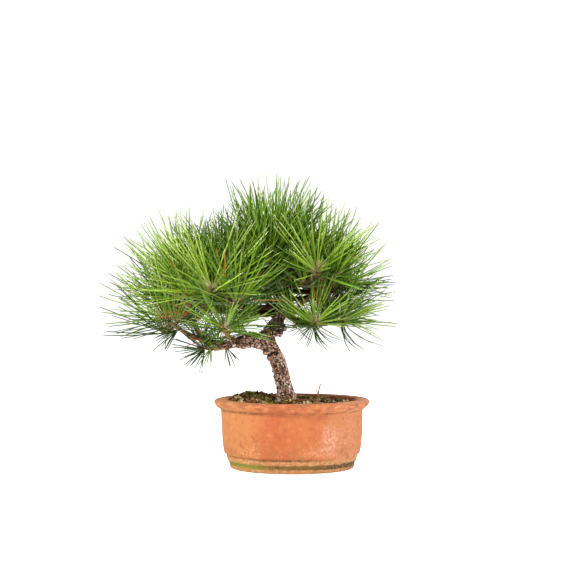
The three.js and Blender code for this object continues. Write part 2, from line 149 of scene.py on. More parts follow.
def hashed(cells: Array, seed: int) -> Array:
    """Gives each whole-number cell a number from 0 to 1 of its own.

    Formula: the three indices times large primes and the seed are laid over each other bit by
    bit, and the result is folded over itself and multiplied twice.

    Args:
        cells: Cell indices, (..., 3).
        seed: Which noise this is.

    Returns:
        The numbers, (...).
    """
    index = cells.astype(np.int64)
    mixed = index[..., 0] * 73856093 ^ index[..., 1] * 19349663 ^ index[..., 2] * 83492791
    mixed = (mixed ^ (seed * 40503 + 977)) & 0xFFFFFFFF
    mixed = ((mixed ^ (mixed >> 15)) * 2246822519) & 0xFFFFFFFF
    mixed = ((mixed ^ (mixed >> 13)) * 3266489917) & 0xFFFFFFFF
    return ((mixed ^ (mixed >> 16)) & 0xFFFFFF) / 0xFFFFFF


def noise(places: Array, seed: int, octaves: int = 1) -> Array:
    """Smooth noise from about -1 to 1.

    Formula: the numbers of the eight cell corners round a place, mixed by its smoothed share of
    the way between them; each further octave is twice as fine and half as strong.

    Args:
        places: Places in cells, (..., 3).
        seed: Which noise this is.
        octaves: How many layers are added up.

    Returns:
        The noise, (...).
    """
    total = np.zeros(places.shape[:-1])
    for octave in range(octaves):
        fine = places * 2**octave
        cell = np.floor(fine)
        part = smooth(0, 1, fine - cell)
        layer = np.zeros(total.shape)
        for corner in np.ndindex(2, 2, 2):
            share = np.where(np.array(corner) == 1, part, 1 - part).prod(axis=-1)
            layer += share * hashed(cell + corner, seed + octave)
        total += (2 * layer - 1) / 2**octave
    return total


def scattered(places: Array, seed: int) -> tuple[Array, Array, Array]:
    """Measures places against points scattered one to a cell.

    Formula: each of the 27 cells round a place holds one point, shifted by the cell's own
    numbers, and the distances to the nearest two are kept.

    Args:
        places: Places in cells, (..., 3).
        seed: Which scatter this is.

    Returns:
        Distance to the nearest point, to the second nearest, and the nearest cell's own number.
    """
    home = np.floor(places)
    nearest = np.full(places.shape[:-1], np.inf)
    second = nearest.copy()
    number = np.zeros(nearest.shape)
    for step in np.ndindex(3, 3, 3):
        cell = home + (np.array(step) - 1)
        point = cell + np.stack([hashed(cell, seed + k) for k in range(3)], axis=-1)
        away = np.linalg.norm(places - point, axis=-1)
        number = np.where(away < nearest, hashed(cell, seed + 7), number)
        second = np.minimum(second, np.maximum(nearest, away))
        nearest = np.minimum(nearest, away)
    return nearest, second, number


# Closed shapes


@dataclass
class Form:
    """A closed shape.

    places are in millimetres, quads and triangles are corner indices, and marks are named
    values, one to a place.
    """

    places: Array
    quads: Array
    triangles: Array
    marks: dict[str, Array] = field(default_factory=dict)

    @staticmethod
    def joined(forms: list["Form"]) -> "Form":
        """Puts several forms into one, with their faces counted on from each other's places.

        Args:
            forms: The forms, all with the same marks.

        Returns:
            The one form.
        """
        counts = np.cumsum([0] + [len(form.places) for form in forms])
        return Form(
            np.concatenate([form.places for form in forms]),
            np.concatenate([form.quads + n for form, n in zip(forms, counts)]),
            np.concatenate([form.triangles + n for form, n in zip(forms, counts)]),
            {key: np.concatenate([form.marks[key] for form in forms]) for key in forms[0].marks},
        )

    def piece(
        self, name: str, material: Material, strip: str = "", rounded: bool = True
    ) -> bpy.types.Object:
        """Makes the form a mesh object in metres at the origin.

        Args:
            name: The object's name.
            material: The finish it gets.
            strip: The mark that runs along the piece's own UV map, if it has one.
            rounded: Whether neighbouring faces are shaded as one round surface.

        Returns:
            The new object.
        """
        mesh = bpy.data.meshes.new(name)
        corners = np.concatenate([self.quads.ravel(), self.triangles.ravel()]).astype(np.int32)
        sizes = np.repeat([4, 3], [len(self.quads), len(self.triangles)])
        mesh.vertices.add(len(self.places))
        mesh.vertices.foreach_set("co", (self.places * MM).astype(np.float32).ravel())
        mesh.loops.add(len(corners))
        mesh.loops.foreach_set("vertex_index", corners)
        mesh.polygons.add(len(sizes))
        starts = np.concatenate([[0], np.cumsum(sizes)[:-1]]).astype(np.int32)
        mesh.polygons.foreach_set("loop_start", starts)
        mesh.polygons.foreach_set("use_smooth", np.full(len(sizes), rounded))
        if strip:
            pairs = np.stack([self.marks[strip], self.marks["round"]], axis=-1)[corners]
            layer = mesh.uv_layers.new(name="OFBake")
            layer.uv.foreach_set("vector", pairs.astype(np.float32).ravel())
        else:
            for key, values in self.marks.items():
                layer = mesh.attributes.new(key, "FLOAT", "POINT")
                layer.data.foreach_set("value", values.astype(np.float32))
        mesh.update(calc_edges=True)
        mesh.materials.append(material)
        made = bpy.data.objects.new(name, mesh)
        bpy.context.scene.collection.objects.link(made)
        return made


def ring_faces(rings: int, around: int) -> tuple[Array, Array]:
    """The faces that close a stack of rings, with a pole at each end.

    Args:
        rings: How many rings there are.
        around: How many places each ring has.

    Returns:
        The quads between neighbouring rings, and the triangles of the two end fans, whose
        poles are counted after the last ring's places.
    """
    edge = np.arange(around)
    after = (edge + 1) % around
    lower = around * np.arange(rings - 1)[:, None]
    here, there = lower + edge, lower + after
    quads = np.stack([here, there, there + around, here + around], axis=-1).reshape(-1, 4)
    pole = np.full(around, rings * around)
    start = np.stack([pole, after, edge], axis=-1)
    top = (rings - 1) * around
    end = np.stack([pole + 1, top + edge, top + after], axis=-1)
    return quads, np.concatenate([start, end])


def closed(grid: Array, marks: dict[str, Array]) -> Form:
    """Closes a grid of rings into a body, with a pole in the middle of each end ring.

    Args:
        grid: Places, (rings, around, 3), turning anticlockwise seen from the far end.
        marks: Values on the same grid, (rings, around).

    Returns:
        The closed form.
    """
    poles = grid[[0, -1]].mean(axis=1)
    ends = {key: value[[0, -1]].mean(axis=1) for key, value in marks.items()}
    return Form(
        np.concatenate([grid.reshape(-1, 3), poles]),
        *ring_faces(*grid.shape[:2]),
        {key: np.concatenate([value.ravel(), ends[key]]) for key, value in marks.items()},
    )


@dataclass
class Spikes:
    """Many slim bodies of one kind: needles, sheaths, buds or moss.

    roots and ways place them, lengths and widths size them, and each bends sideways by its
    bend at the tip. turns are any vectors that aren't along the ways.
    """

    roots: Array
    ways: Array
    lengths: Array
    widths: Array
    bends: Array
    turns: Array

    def picked(self, which: Array) -> "Spikes":
        """Keeps only the chosen ones."""
        return Spikes(*(part[which] for part in vars(self).values()))

    @staticmethod
    def joined(sets: list["Spikes"]) -> "Spikes":
        """Puts several sets into one."""
        return Spikes(*map(np.concatenate, zip(*(vars(one).values() for one in sets))))

    def middles(self, shares: Array) -> Array:
        """Root plus way times length times share, plus bend times share squared, (n, shares, 3)."""
        straight = self.ways[:, None] * (self.lengths[:, None] * shares)[..., None]
        return self.roots[:, None] + straight + self.bends[:, None] * (shares**2)[:, None]

    def form(self, profile: tuple[tuple[float, float], ...], sides: int = 3) -> Form:
        """Draws every body as rings round its middle line.

        Formula: a ring's place is the middle at its share of the length, and its radius is half
        the width times the profile's value there. The last pole is the tip.

        Args:
            profile: Pairs of share of the length and share of the half width.
            sides: Places to a ring.

        Returns:
            All bodies as one form, marked with the share along and the share round.
        """
        shares, sizes = np.array(profile).T
        count, rings = len(self.roots), len(shares)
        across = unit(np.cross(self.ways, self.turns))
        beside = np.cross(self.ways, across)
        angle = even_angles(sides)[:, None]
        out = across[:, None] * np.cos(angle) + beside[:, None] * np.sin(angle)
        radius = self.widths[:, None] / 2 * sizes
        grid = self.middles(shares)[:, :, None] + out[:, None] * radius[:, :, None, None]
        poles = np.stack([self.roots, self.middles(np.ones(1))[:, 0]], axis=1)
        places = np.concatenate([grid.reshape(count, -1, 3), poles], axis=1)
        quads, triangles = ring_faces(rings, sides)
        offset = (np.arange(count) * (rings * sides + 2))[:, None, None]
        along = np.concatenate([np.repeat(shares, sides), [0, 1]])
        round_it = np.concatenate([np.tile(np.arange(sides) / sides, rings), [0.5, 0.5]])
        return Form(
            places.reshape(-1, 3),
            (quads + offset).reshape(-1, 4),
            (triangles + offset).reshape(-1, 3),
            {"along": np.tile(along, count), "round": np.tile(round_it, count)},
        )


# Paths


@dataclass(frozen=True)
class Bezier:
    """A Bezier curve: the control points, each times its Bernstein polynomial, added up."""

    controls: Array

    def at(self, t: Array) -> Array:
        """Places at shares t of the curve, (n, 3)."""
        t, top = np.asarray(t, dtype=float)[:, None], len(self.controls) - 1
        return sum(math.comb(top, k) * t**k * (1 - t) ** (top - k) * p for k, p in enumerate(self.controls))


@dataclass(frozen=True)
class Knots:
    """A centripetal Catmull-Rom curve through known points.

    Formula: between two points a cubic whose end slopes come from the differences to the points
    on either side, each divided by the square root of the distance between its two points. Past
    the ends the points are taken to go on in a straight line.
    """

    points: Array

    def at(self, t: Array) -> Array:
        """Places at shares t of the curve, (n, 3).

        Args:
            t: Shares from 0 to 1, (n,).

        Returns:
            The places.
        """
        t = np.asarray(t, dtype=float)
        last = len(self.points) - 1
        index = np.minimum(np.floor(t * last).astype(int), last - 1)
        weight = (t * last - index)[:, None]
        first = 2 * self.points[0] - self.points[1]
        beyond = 2 * self.points[-1] - self.points[-2]
        row = np.vstack([first, self.points, beyond])
        a, b, c, d = (row[index + k] for k in range(4))
        gap0, gap1, gap2 = (
            np.linalg.norm(far - near, axis=1, keepdims=True) ** 0.5
            for near, far in ((a, b), (b, c), (c, d))
        )
        leave = ((b - a) / gap0 - (c - a) / (gap0 + gap1) + (c - b) / gap1) * gap1
        arrive = ((c - b) / gap1 - (d - b) / (gap1 + gap2) + (d - c) / gap2) * gap1
        square = -3 * b + 3 * c - 2 * leave - arrive
        cube = 2 * b - 2 * c + leave + arrive
        return b + leave * weight + square * weight**2 + cube * weight**3


@dataclass(frozen=True)
class Stretch:
    """The part of another path between two shares of it."""

    path: "Bezier | Knots"
    start: float
    end: float

    def at(self, t: Array) -> Array:
        """Places at shares t of this stretch, (n, 3)."""
        return self.path.at(blend(self.start, self.end, np.asarray(t, dtype=float)))


Path = Bezier | Knots | Stretch


def place_at(path: Path, share: float) -> Array:
    """The one place at a share of a path, (3,)."""
    return path.at(np.array([share]))[0]


def frames(centres: Array) -> tuple[Array, Array]:
    """Two unit vectors across a path at each of its places, without twist.

    Formula: each across is the one before it, less its share along the new direction.

    Args:
        centres: Places along the path, (n, 3).

    Returns:
        The vectors across and beside the path, (n, 3) each.
    """
    ahead = unit(np.gradient(centres, axis=0))
    across = np.zeros_like(ahead)
    last = AWAY if abs(ahead[0] @ RIGHT) > 0.97 else RIGHT
    for i, direction in enumerate(ahead):
        last = unit(last - direction * (last @ direction))
        across[i] = last
    return across, np.cross(ahead, across)


# Finishes


def colour(hexed: str) -> Colour:
    """Turns a display colour such as c9713f into the linear colour that a shader reads."""
    shown = (int(hexed[i : i + 2], 16) / 255 for i in (0, 2, 4))
    return (*(c / 12.92 if c <= 0.04045 else ((c + 0.055) / 1.055) ** 2.4 for c in shown), 1.0)


class Board:
    """A node tree being wired: each method adds nodes, joined to what it is given."""

    def __init__(self, tree: Tree) -> None:
        """Starts on an empty tree."""
        self.tree = tree
        tree.nodes.clear()

    def give(self, node: Node, values: Inputs) -> None:
        """Sets a node's inputs.

        Args:
            node: The node.
            values: A number, colour or socket for each input, by name or index.
        """
        for key, value in values.items():
            if isinstance(value, Socket):
                self.tree.links.new(value, node.inputs[key])
            else:
                node.inputs[key].default_value = value

    def add(self, kind: str, values: Inputs, **settings: object) -> Node:
        """Adds a node.

        Args:
            kind: The node's type.
            values: What its inputs are given.
            **settings: The node's own properties.

        Returns:
            The new node.
        """
        node = self.tree.nodes.new(kind)
        for key, value in settings.items():
            setattr(node, key, value)
        self.give(node, values)
        return node

    def group(self, tree: Tree, **values: Socket | float) -> bpy.types.NodeOutputs:
        """Places a shared effect, with a value or socket for each of its inputs."""
        named = {key.title(): value for key, value in values.items()}
        return self.add("ShaderNodeGroup", named, node_tree=tree).outputs

    def object_mm(self) -> Socket:
        """The place on the object, in millimetres."""
        place = self.add("ShaderNodeTexCoord", {}).outputs["Object"]
        return self.vectors("MULTIPLY", place, (1 / MM, 1 / MM, 1 / MM))

    def parts(self, vector: Socket) -> list[Socket]:
        """The vector's x, y and z."""
        return list(self.add("ShaderNodeSeparateXYZ", {0: vector}).outputs)

    def mark(self, name: str) -> Socket:
        """A value that the mesh holds at its places."""
        node = self.add("ShaderNodeAttribute", {}, attribute_name=name, attribute_type="GEOMETRY")
        return node.outputs["Fac"]

    def maths(self, operation: str, first: Socket | float, second: Socket | float) -> Socket:
        """One sum on two values."""
        return self.add("ShaderNodeMath", {0: first, 1: second}, operation=operation).outputs[0]

    def vectors(self, operation: str, first: Socket, second: Socket | Triple) -> Socket:
        """One sum on two vectors, axis by axis."""
        values = {0: first, 1: second}
        return self.add("ShaderNodeVectorMath", values, operation=operation).outputs[0]

    def product(self, *values: Socket | float) -> Socket | float:
        """All values multiplied together."""
        return reduce(lambda first, second: self.maths("MULTIPLY", first, second), values)

    def noise(
        self, place: Socket, size: Socket | float, detail: float = 4.0, rough: float = 0.6
    ) -> Socket:
        """Cloudy noise from 0 to 1.

        Args:
            place: The place that it is read at.
            size: About how wide its patches are.
            detail: How many finer layers it has.
            rough: How strong each finer layer is beside the one before it.

        Returns:
            The noise.
        """
        scale = self.maths("DIVIDE", 1.0, size) if isinstance(size, Socket) else 1 / size
        values = {"Vector": place, "Scale": scale, "Detail": detail, "Roughness": rough}
        return self.add("ShaderNodeTexNoise", values).outputs["Fac"]

    def span(self, value: Socket, low: float, high: float) -> Socket:
        """Goes smoothly from 0 to 1.

        Args:
            value: What it follows.
            low: Where it is 0.
            high: Where it is 1, which may lie under low.

        Returns:
            The share of the way.
        """
        if low > high:
            return self.maths("SUBTRACT", 1.0, self.span(value, high, low))
        values = {"Value": value, "From Min": low, "From Max": high}
        node = self.add("ShaderNodeMapRange", values, interpolation_type="SMOOTHSTEP")
        return node.outputs["Result"]

    def band(self, value: Socket, low: float, high: float, soft: float) -> Socket:
        """1 where the value lies between low and high, fading out over soft on both sides."""
        return self.product(self.span(value, low - soft, low), self.span(value, high + soft, high))

    def spot(self, place: Socket, middle: Triple, size: Triple) -> Socket:
        """A soft oval patch.

        Args:
            place: The place on the object.
            middle: The patch's middle.
            size: Its half sizes.

        Returns:
            1 in the middle of the ellipsoid and 0 outside it.
        """
        offset = self.vectors("DIVIDE", self.vectors("SUBTRACT", place, middle), size)
        length = self.add("ShaderNodeVectorMath", {0: offset}, operation="LENGTH")
        return self.span(length.outputs["Value"], 1.0, 0.35)

    def mix(self, share: Socket | float, first: Tint, second: Tint) -> Socket:
        """From the first colour at share 0 to the second at share 1."""
        first, second = (colour(one) if isinstance(one, str) else one for one in (first, second))
        return self.add("ShaderNodeMix", {0: share, 6: first, 7: second}, data_type="RGBA").outputs[2]

    def washes(self, under: Tint, *layers: tuple[Tint | float, ...]) -> Socket:
        """Lays colours over one another like thin washes.

        Formula: each colour is mixed over what lies under it by the product of its shares.

        Args:
            under: The lowest colour.
            *layers: For each layer, the lowest first, its colour and its shares.

        Returns:
            The colour of them all.
        """
        for tint, *shares in layers:
            under = self.mix(self.product(*shares), under, tint)
        return under

    def ramp(self, value: Socket, stops: tuple[tuple[float, str], ...]) -> Socket:
        """The colour between the stops on either side of a value.

        Args:
            value: The value, from 0 to 1.
            stops: The place and the colour of each stop, in rising order from 0 to 1.

        Returns:
            The colour.
        """
        node = self.add("ShaderNodeValToRGB", {0: value})
        marks = node.color_ramp.elements
        for place, _ in stops[1:-1]:
            marks.new(place)
        for mark, (place, tint) in zip(marks, stops):
            mark.position, mark.color = place, colour(tint)
        return node.outputs["Color"]


class SharedEffects:
    """Shader groups that several finishes use, each built once."""

    def __init__(self) -> None:
        """Builds both groups."""
        self.weathering = self._built("weathering", ("Patch", "Speck"), self._weathering)
        self.grain = self._built("grain", ("Size",), self._grain)

    @staticmethod
    def _built(name: str, sizes: tuple[str, ...], effect: Callable[..., Inputs]) -> Tree:
        """Builds a group.

        Args:
            name: The group's name.
            sizes: The names of its inputs after the place, each a size in millimetres.
            effect: Wires the group from its inputs, and names what it puts out.

        Returns:
            The group, with one output for each named value.
        """
        tree = bpy.data.node_groups.new(name, "ShaderNodeTree")
        board = Board(tree)
        tree.interface.new_socket("Place", in_out="INPUT", socket_type="NodeSocketVector")
        for key in sizes:
            tree.interface.new_socket(key, in_out="INPUT", socket_type="NodeSocketFloat")
        given = board.add("NodeGroupInput", {}).outputs
        made = effect(board, *(given[key] for key in ("Place", *sizes)))
        for key in made:
            tree.interface.new_socket(key, in_out="OUTPUT", socket_type="NodeSocketFloat")
        board.add("NodeGroupOutput", made)
        return tree

    @staticmethod
    def _weathering(board: Board, place: Socket, patch: Socket, speck: Socket) -> Inputs:
        """Soft patches, and small specks that lie thicker in the patches.

        Args:
            board: The group's board.
            place: The place on the object.
            patch: How wide the patches are.
            speck: How wide the specks are.

        Returns:
            The patches and the specks, from 0 to 1.
        """
        patches = board.span(board.noise(place, patch, 5.0, 0.62), 0.36, 0.66)
        dots = board.noise(place, speck, 2.0, 0.62)
        weighted = board.maths("ADD", dots, board.product(patches, 0.1))
        return {"Patches": patches, "Specks": board.span(weighted, 0.66, 0.76)}

    @staticmethod
    def _grain(board: Board, place: Socket, size: Socket) -> Inputs:
        """A fine rough surface: noise with pits a third as large.

        Args:
            board: The group's board.
            place: The place on the object.
            size: How wide the noise's patches are.

        Returns:
            The surface's height.
        """
        scale = board.product(board.maths("DIVIDE", 1.0, size), 3.0)
        pitted = board.add("ShaderNodeTexVoronoi", {"Vector": place, "Scale": scale}, feature="F1")
        pits = board.product(board.span(pitted.outputs["Distance"], 0.05, 0.4), 0.35)
        return {"Height": board.maths("ADD", board.noise(place, size, 6.0, 0.65), pits)}


@dataclass(frozen=True)
class Surface:
    """What a finish works its colour out from.

    place is the place on the object in millimetres, with its x, y and z, and patches and
    specks are its weathering, from 0 to 1.
    """

    board: Board
    place: Socket
    x: Socket
    y: Socket
    z: Socket
    patches: Socket
    specks: Socket

    def clouds(self, size: float, detail: float, low: float, high: float) -> Socket:
        """Noise of a size, as 0 where it is at low and 1 where it is at high."""
        return self.board.span(self.board.noise(self.place, size, detail), low, high)


@dataclass(frozen=True, kw_only=True)
class Finish:
    """What every finish shares: an opaque material with a Principled shader."""

    name: str
    roughness: float
    shine: float = 0.5

    def start(self) -> tuple[Material, Board, Node]:
        """Makes a material and sets the plain values.

        Returns:
            The material, its board and its shader.
        """
        material = bpy.data.materials.new(self.name)
        material.use_nodes = True
        board = Board(material.node_tree)
        values = {"Roughness": self.roughness, "Specular IOR Level": self.shine}
        shader = board.add("ShaderNodeBsdfPrincipled", values)
        board.add("ShaderNodeOutputMaterial", {0: shader.outputs[0]})
        return material, board, shader


@dataclass(frozen=True, kw_only=True)
class WornFinish(Finish):
    """A weathered finish with a fine relief.

    patch and speck are the sizes of its weathering, grain that of its relief and depth how deep
    that is, all in millimetres.
    """

    effects: SharedEffects
    patch: float
    speck: float
    grain: float
    depth: float

    def tint(self, on: Surface) -> Socket:
        """The colour on a surface, which each worn finish works out for itself."""
        raise NotImplementedError

    def relief(self, on: Surface, grain: Socket) -> Socket:
        """The relief on a surface, from 0 to 1: its grain alone."""
        return grain

    def make(self) -> Material:
        """Builds the material.

        Returns:
            The material.
        """
        material, board, shader = self.start()
        place = board.object_mm()
        worn = board.group(self.effects.weathering, place=place, patch=self.patch, speck=self.speck)
        on = Surface(board, place, *board.parts(place), worn["Patches"], worn["Specks"])
        grain = board.group(self.effects.grain, place=place, size=self.grain)["Height"]
        values = {"Height": self.relief(on, grain), "Distance": self.depth * MM, "Strength": 1.0}
        bump = board.add("ShaderNodeBump", values)
        board.give(shader, {"Base Color": self.tint(on), "Normal": bump.outputs[0]})
        return material


@dataclass(frozen=True, kw_only=True)
class TerracottaFinish(WornFinish):
    """Old unglazed clay: painted light on the flanks, warm patches, lime bloom, lip smudges and foot algae.

    lip_from, step_at and groove_at are the heights where the lip, the step over the foot and
    the groove in the foot begin.
    """

    lip_from: float
    step_at: float
    groove_at: float
    name: str = "terracotta"
    roughness: float = 0.82
    patch: float = 34.0
    speck: float = 2.2
    grain: float = 3.4
    depth: float = 0.5

    def relief(self, on: Surface, grain: Socket) -> Socket:
        """The grain with streaks that run round the pot."""
        streaks = on.board.noise(on.board.vectors("MULTIPLY", on.place, (1, 1, 6)), 22.0, 5.0)
        return on.board.maths("ADD", grain, on.board.product(streaks, 0.8))

    def tint(self, on: Surface) -> Socket:
        """The clay's tints with its flanks painted lit, then what has settled on it.

        Args:
            on: The surface.

        Returns:
            The colour.
        """
        board = on.board
        mottle = board.noise(on.place, 6.5, 8.0)
        return board.washes(
            "ab5a30",
            ("b46a38", on.patches),
            ("a64f22", board.spot(on.place, (-18, -70, 47), (44, 60, 36)), 0.6),
            # Painted light: both flanks lighter, as if lit from the left and the right.
            ("b2713c", board.span(on.x, -30, -72)),
            ("ba7850", board.span(on.x, 30, 76), 0.8),
            ("b0673d", board.span(on.y, 0, 60), 0.4),
            ("963f20", board.span(mottle, 0.54, 0.7), 0.58),
            ("c58658", board.span(mottle, 0.48, 0.28), 0.35),
            *self._bloom(on), *self._lip(on), *self._algae_and_shadow(on),
        )

    @staticmethod
    def _bloom(on: Surface) -> Layers:
        """Lime that dried out of the clay: a patch on the right, and specks low down.

        Args:
            on: The surface.

        Returns:
            The layers to wash over the clay.
        """
        board, place = on.board, on.place
        broken, low = on.clouds(3.4, 9.0, 0.34, 0.74), board.span(on.z, 58, 20)
        grainy = on.clouds(1.9, 4.0, 0.56, 0.68)
        return (
            ("e8cab4", board.spot(place, (47, -62, 43), (15, 40, 27)), broken, 0.36),
            ("e8c8ac", board.spot(place, (58, -50, 44), (46, 60, 42)), grainy, 0.36),
            ("dcb48e", board.spot(place, (36, -68, 28), (22, 40, 9)), broken, 0.32),
            ("eec8a6", on.specks, low, 0.34),
            ("8f5c30", on.clouds(9.0, 9.0, 0.48, 0.6), low, 0.55),
            ("8e3e1c", on.clouds(1.4, 3.0, 0.6, 0.74), 0.5),
        )

    def _lip(self, on: Surface) -> Layers:
        """Brown and pale smudges that run along the lip, and a painted shadow in the corner under it.

        Args:
            on: The surface.

        Returns:
            The layers to wash over the clay.
        """
        board, edge = on.board, self.lip_from
        run = board.noise(board.vectors("MULTIPLY", on.place, (1, 1, 3.2)), 12.0, 8.0)
        lip, under = board.span(on.z, edge + 1, edge + 4), board.band(on.z, edge - 0.3, edge + 0.9, 1.6)
        return (
            ("854a2a", lip, board.span(run, 0.5, 0.6), 0.62),
            ("dd9a72", lip, board.span(run, 0.48, 0.34), 0.35),
            # Painted shadow: a dark band in the corner under the lip.
            ("6a4212", under, on.clouds(13.0, 6.0, 0.36, 0.62), 0.9),
        )

    def _algae_and_shadow(self, on: Surface) -> Layers:
        """Painted shadow at the step, and algae with painted shade in the foot's groove,
        green on the left and brown on the right.

        Args:
            on: The surface.

        Returns:
            The layers to wash over the clay.
        """
        board, x, z = on.board, on.x, on.z
        ragged = board.maths("SUBTRACT", board.noise(on.place, 8.0, 9.0), 0.5)
        height = board.maths("ADD", z, board.product(ragged, 5.0))
        foot = board.span(z, self.step_at + 1.5, self.step_at - 2)
        step = board.band(height, self.step_at - 0.8, self.step_at + 0.6, 1.5)
        strength = board.maths("ADD", board.product(board.band(x, -34, 26, 24), 0.6), 0.2)
        groove = board.band(height, self.groove_at - 1.4, self.groove_at + 2.0, 2.6)
        to_right = ("63480e", board.span(x, -52, -18)), ("40300a", board.span(x, 20, 56))
        return (
            ("a3743e", foot, 0.6),
            ("d3ab7c", foot, on.clouds(3.6, 8.0, 0.44, 0.62), 0.4),
            # Painted shadow: a dark olive line under the step, strongest in the middle.
            ("4c3a0a", step, strength, on.clouds(9.0, 7.0, 0.3, 0.62)),
            # Algae in the foot's groove, darkened as painted shade: green on the left, brown on the right.
            (board.washes("6e7410", *to_right), groove, on.clouds(2.6, 5.0, 0.2, 0.52), 0.95),
        )


@dataclass(frozen=True, kw_only=True)
class BarkFinish(WornFinish):
    """Scaly bark: each plate its own tint, crevices dark in part as painted shade, ridges worn pale.

    plates are the darkest, middle and palest tint, moss how much green there is, and shaded the
    middles and half sizes of places painted nearly black as shade.
    """

    plates: tuple[str, str, str] = ("9a6c5a", "f0c2a4", "fffaf4")
    moss: float
    shaded: tuple[tuple[Triple, Triple], ...]
    roughness: float = 0.86
    shine: float = 0.15
    patch: float = 9.0
    speck: float = 1.1
    grain: float = 1.6
    depth: float = 0.5

    def tint(self, on: Surface) -> Socket:
        """The colour, from the mesh's own plate and crevice marks.

        Args:
            on: The surface.

        Returns:
            The colour.
        """
        board = on.board
        return board.washes(
            board.ramp(board.mark("plate"), tuple(zip((0.0, 0.5, 1.0), self.plates))),
            ("8a6854", on.patches, 0.3),
            ("d3b9a6", on.specks, 0.55),
            ("a9673f", on.clouds(14.0, 4.0, 0.52, 0.68), 0.35),
            ("6d6b35", on.clouds(11.0, 6.0, 0.5, 0.62), self.moss),
            # Painted shade: the shaded ovals go nearly black where the crown and the fork leave the wood
            # dark.
            *(("22160e", board.spot(on.place, *oval), 0.75) for oval in self.shaded),
            # The crevices and folds go dark, partly the bark's own colour and partly painted shade.
            ("2c1810", board.span(board.mark("crevice"), 0.1, 1.0)),
        )


@dataclass(frozen=True, kw_only=True)
class GroundFinish(WornFinish):
    """Grit or moss: two tints in patches, with specks of a third."""

    tints: tuple[str, str, str]
    roughness: float = 0.95
    shine: float = 0.15
    patch: float
    speck: float = 1.0
    grain: float = 1.8
    depth: float = 0.6

    def tint(self, on: Surface) -> Socket:
        """The three tints over one another."""
        first, second, third = self.tints
        return on.board.washes(first, (second, on.patches), (third, on.specks))


@dataclass(frozen=True, kw_only=True)
class EarthFinish(WornFinish):
    """Potting soil: each crumb its own brown, olive where damp, and the gaps painted dark as shade."""

    name: str = "earth"
    roughness: float = 0.95
    shine: float = 0.1
    patch: float = 9.0
    speck: float = 0.9
    grain: float = 1.6
    depth: float = 0.6
    browns: tuple[tuple[float, str], ...] = (
        (0.0, "120803"), (0.28, "3a1e0a"), (0.5, "6e4618"), (0.72, "9a7a30"), (1.0, "d6ba8e"),
    )

    def tint(self, on: Surface) -> Socket:
        """The colour, from the mesh's own tint and crevice marks.

        Args:
            on: The surface.

        Returns:
            The colour.
        """
        board = on.board
        return board.washes(
            board.ramp(board.mark("tint"), self.browns),
            ("6e6a1e", on.clouds(9.0, 5.0, 0.49, 0.6), 0.35),
            ("dcc6a8", on.specks, 0.4),
            # Painted shade: the crevices between crumbs go nearly black.
            ("120a06", board.mark("crevice"), 0.92),
        )


@dataclass(frozen=True, kw_only=True)
class BladeFinish(Finish):
    """A needle, sheath or bud: one plain colour that changes from its root to its tip."""

    tints: tuple[str, str, str]
    roughness: float = 0.3

    def make(self) -> Material:
        """Builds the material on the piece's own UV map, which runs from root to tip.

        Returns:
            The material.
        """
        material, board, shader = self.start()
        along = board.parts(board.add("ShaderNodeUVMap", {}, uv_map="OFBake").outputs[0])[0]
        root, body, tip = self.tints
        tint = board.ramp(along, ((0.0, root), (0.2, body), (0.82, body), (1.0, tip)))
        board.give(shader, {"Base Color": tint})
        return material


class Tone(Enum):
    """The plain greens that sprays are dealt, from the young ones in the light to the dead."""

    # The deeper greens stand partly for the needles' age and partly for painted shade.
    BRIGHT = 0
    FRESH = 1
    MID = 2
    DEEP = 3
    OLD = 4
    DEAD = 5

    def darker(self, by: int) -> "Tone":
        """The green so many steps darker, at most the oldest one."""
        return Tone(min(self.value + by, Tone.OLD.value))


BRIGHT, FRESH, MID, DEEP, OLD, DEAD = Tone
# Root, body and tip of each green; the paler grey tips are partly painted highlight.
NEEDLE_TINTS = {
    BRIGHT: ("e8e2a4", "98b63e", "bcc496"),
    FRESH: ("d2d28a", "82a22a", "a0ac74"),
    MID: ("b0b262", "648816", "788a4e"),
    DEEP: ("8a9440", "44660a", "586c32"),
    OLD: ("5e6a2c", "284204", "3c4e24"),
    DEAD: ("b0824a", "b0743a", "8a6038"),
}


def settle(piece: bpy.types.Object, nodes: list[str]) -> None:
    """Hands a finished piece to the frame and reports it.

    Args:
        piece: The finished object.
        nodes: The CAD nodes that it stands for.
    """
    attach(piece, BODY)
    if nodes:
        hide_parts(*nodes)
    faces = sum(len(face.vertices) - 2 for face in piece.data.polygons)
    log.info("%s: %d triangles", piece.name, faces)


# The pot


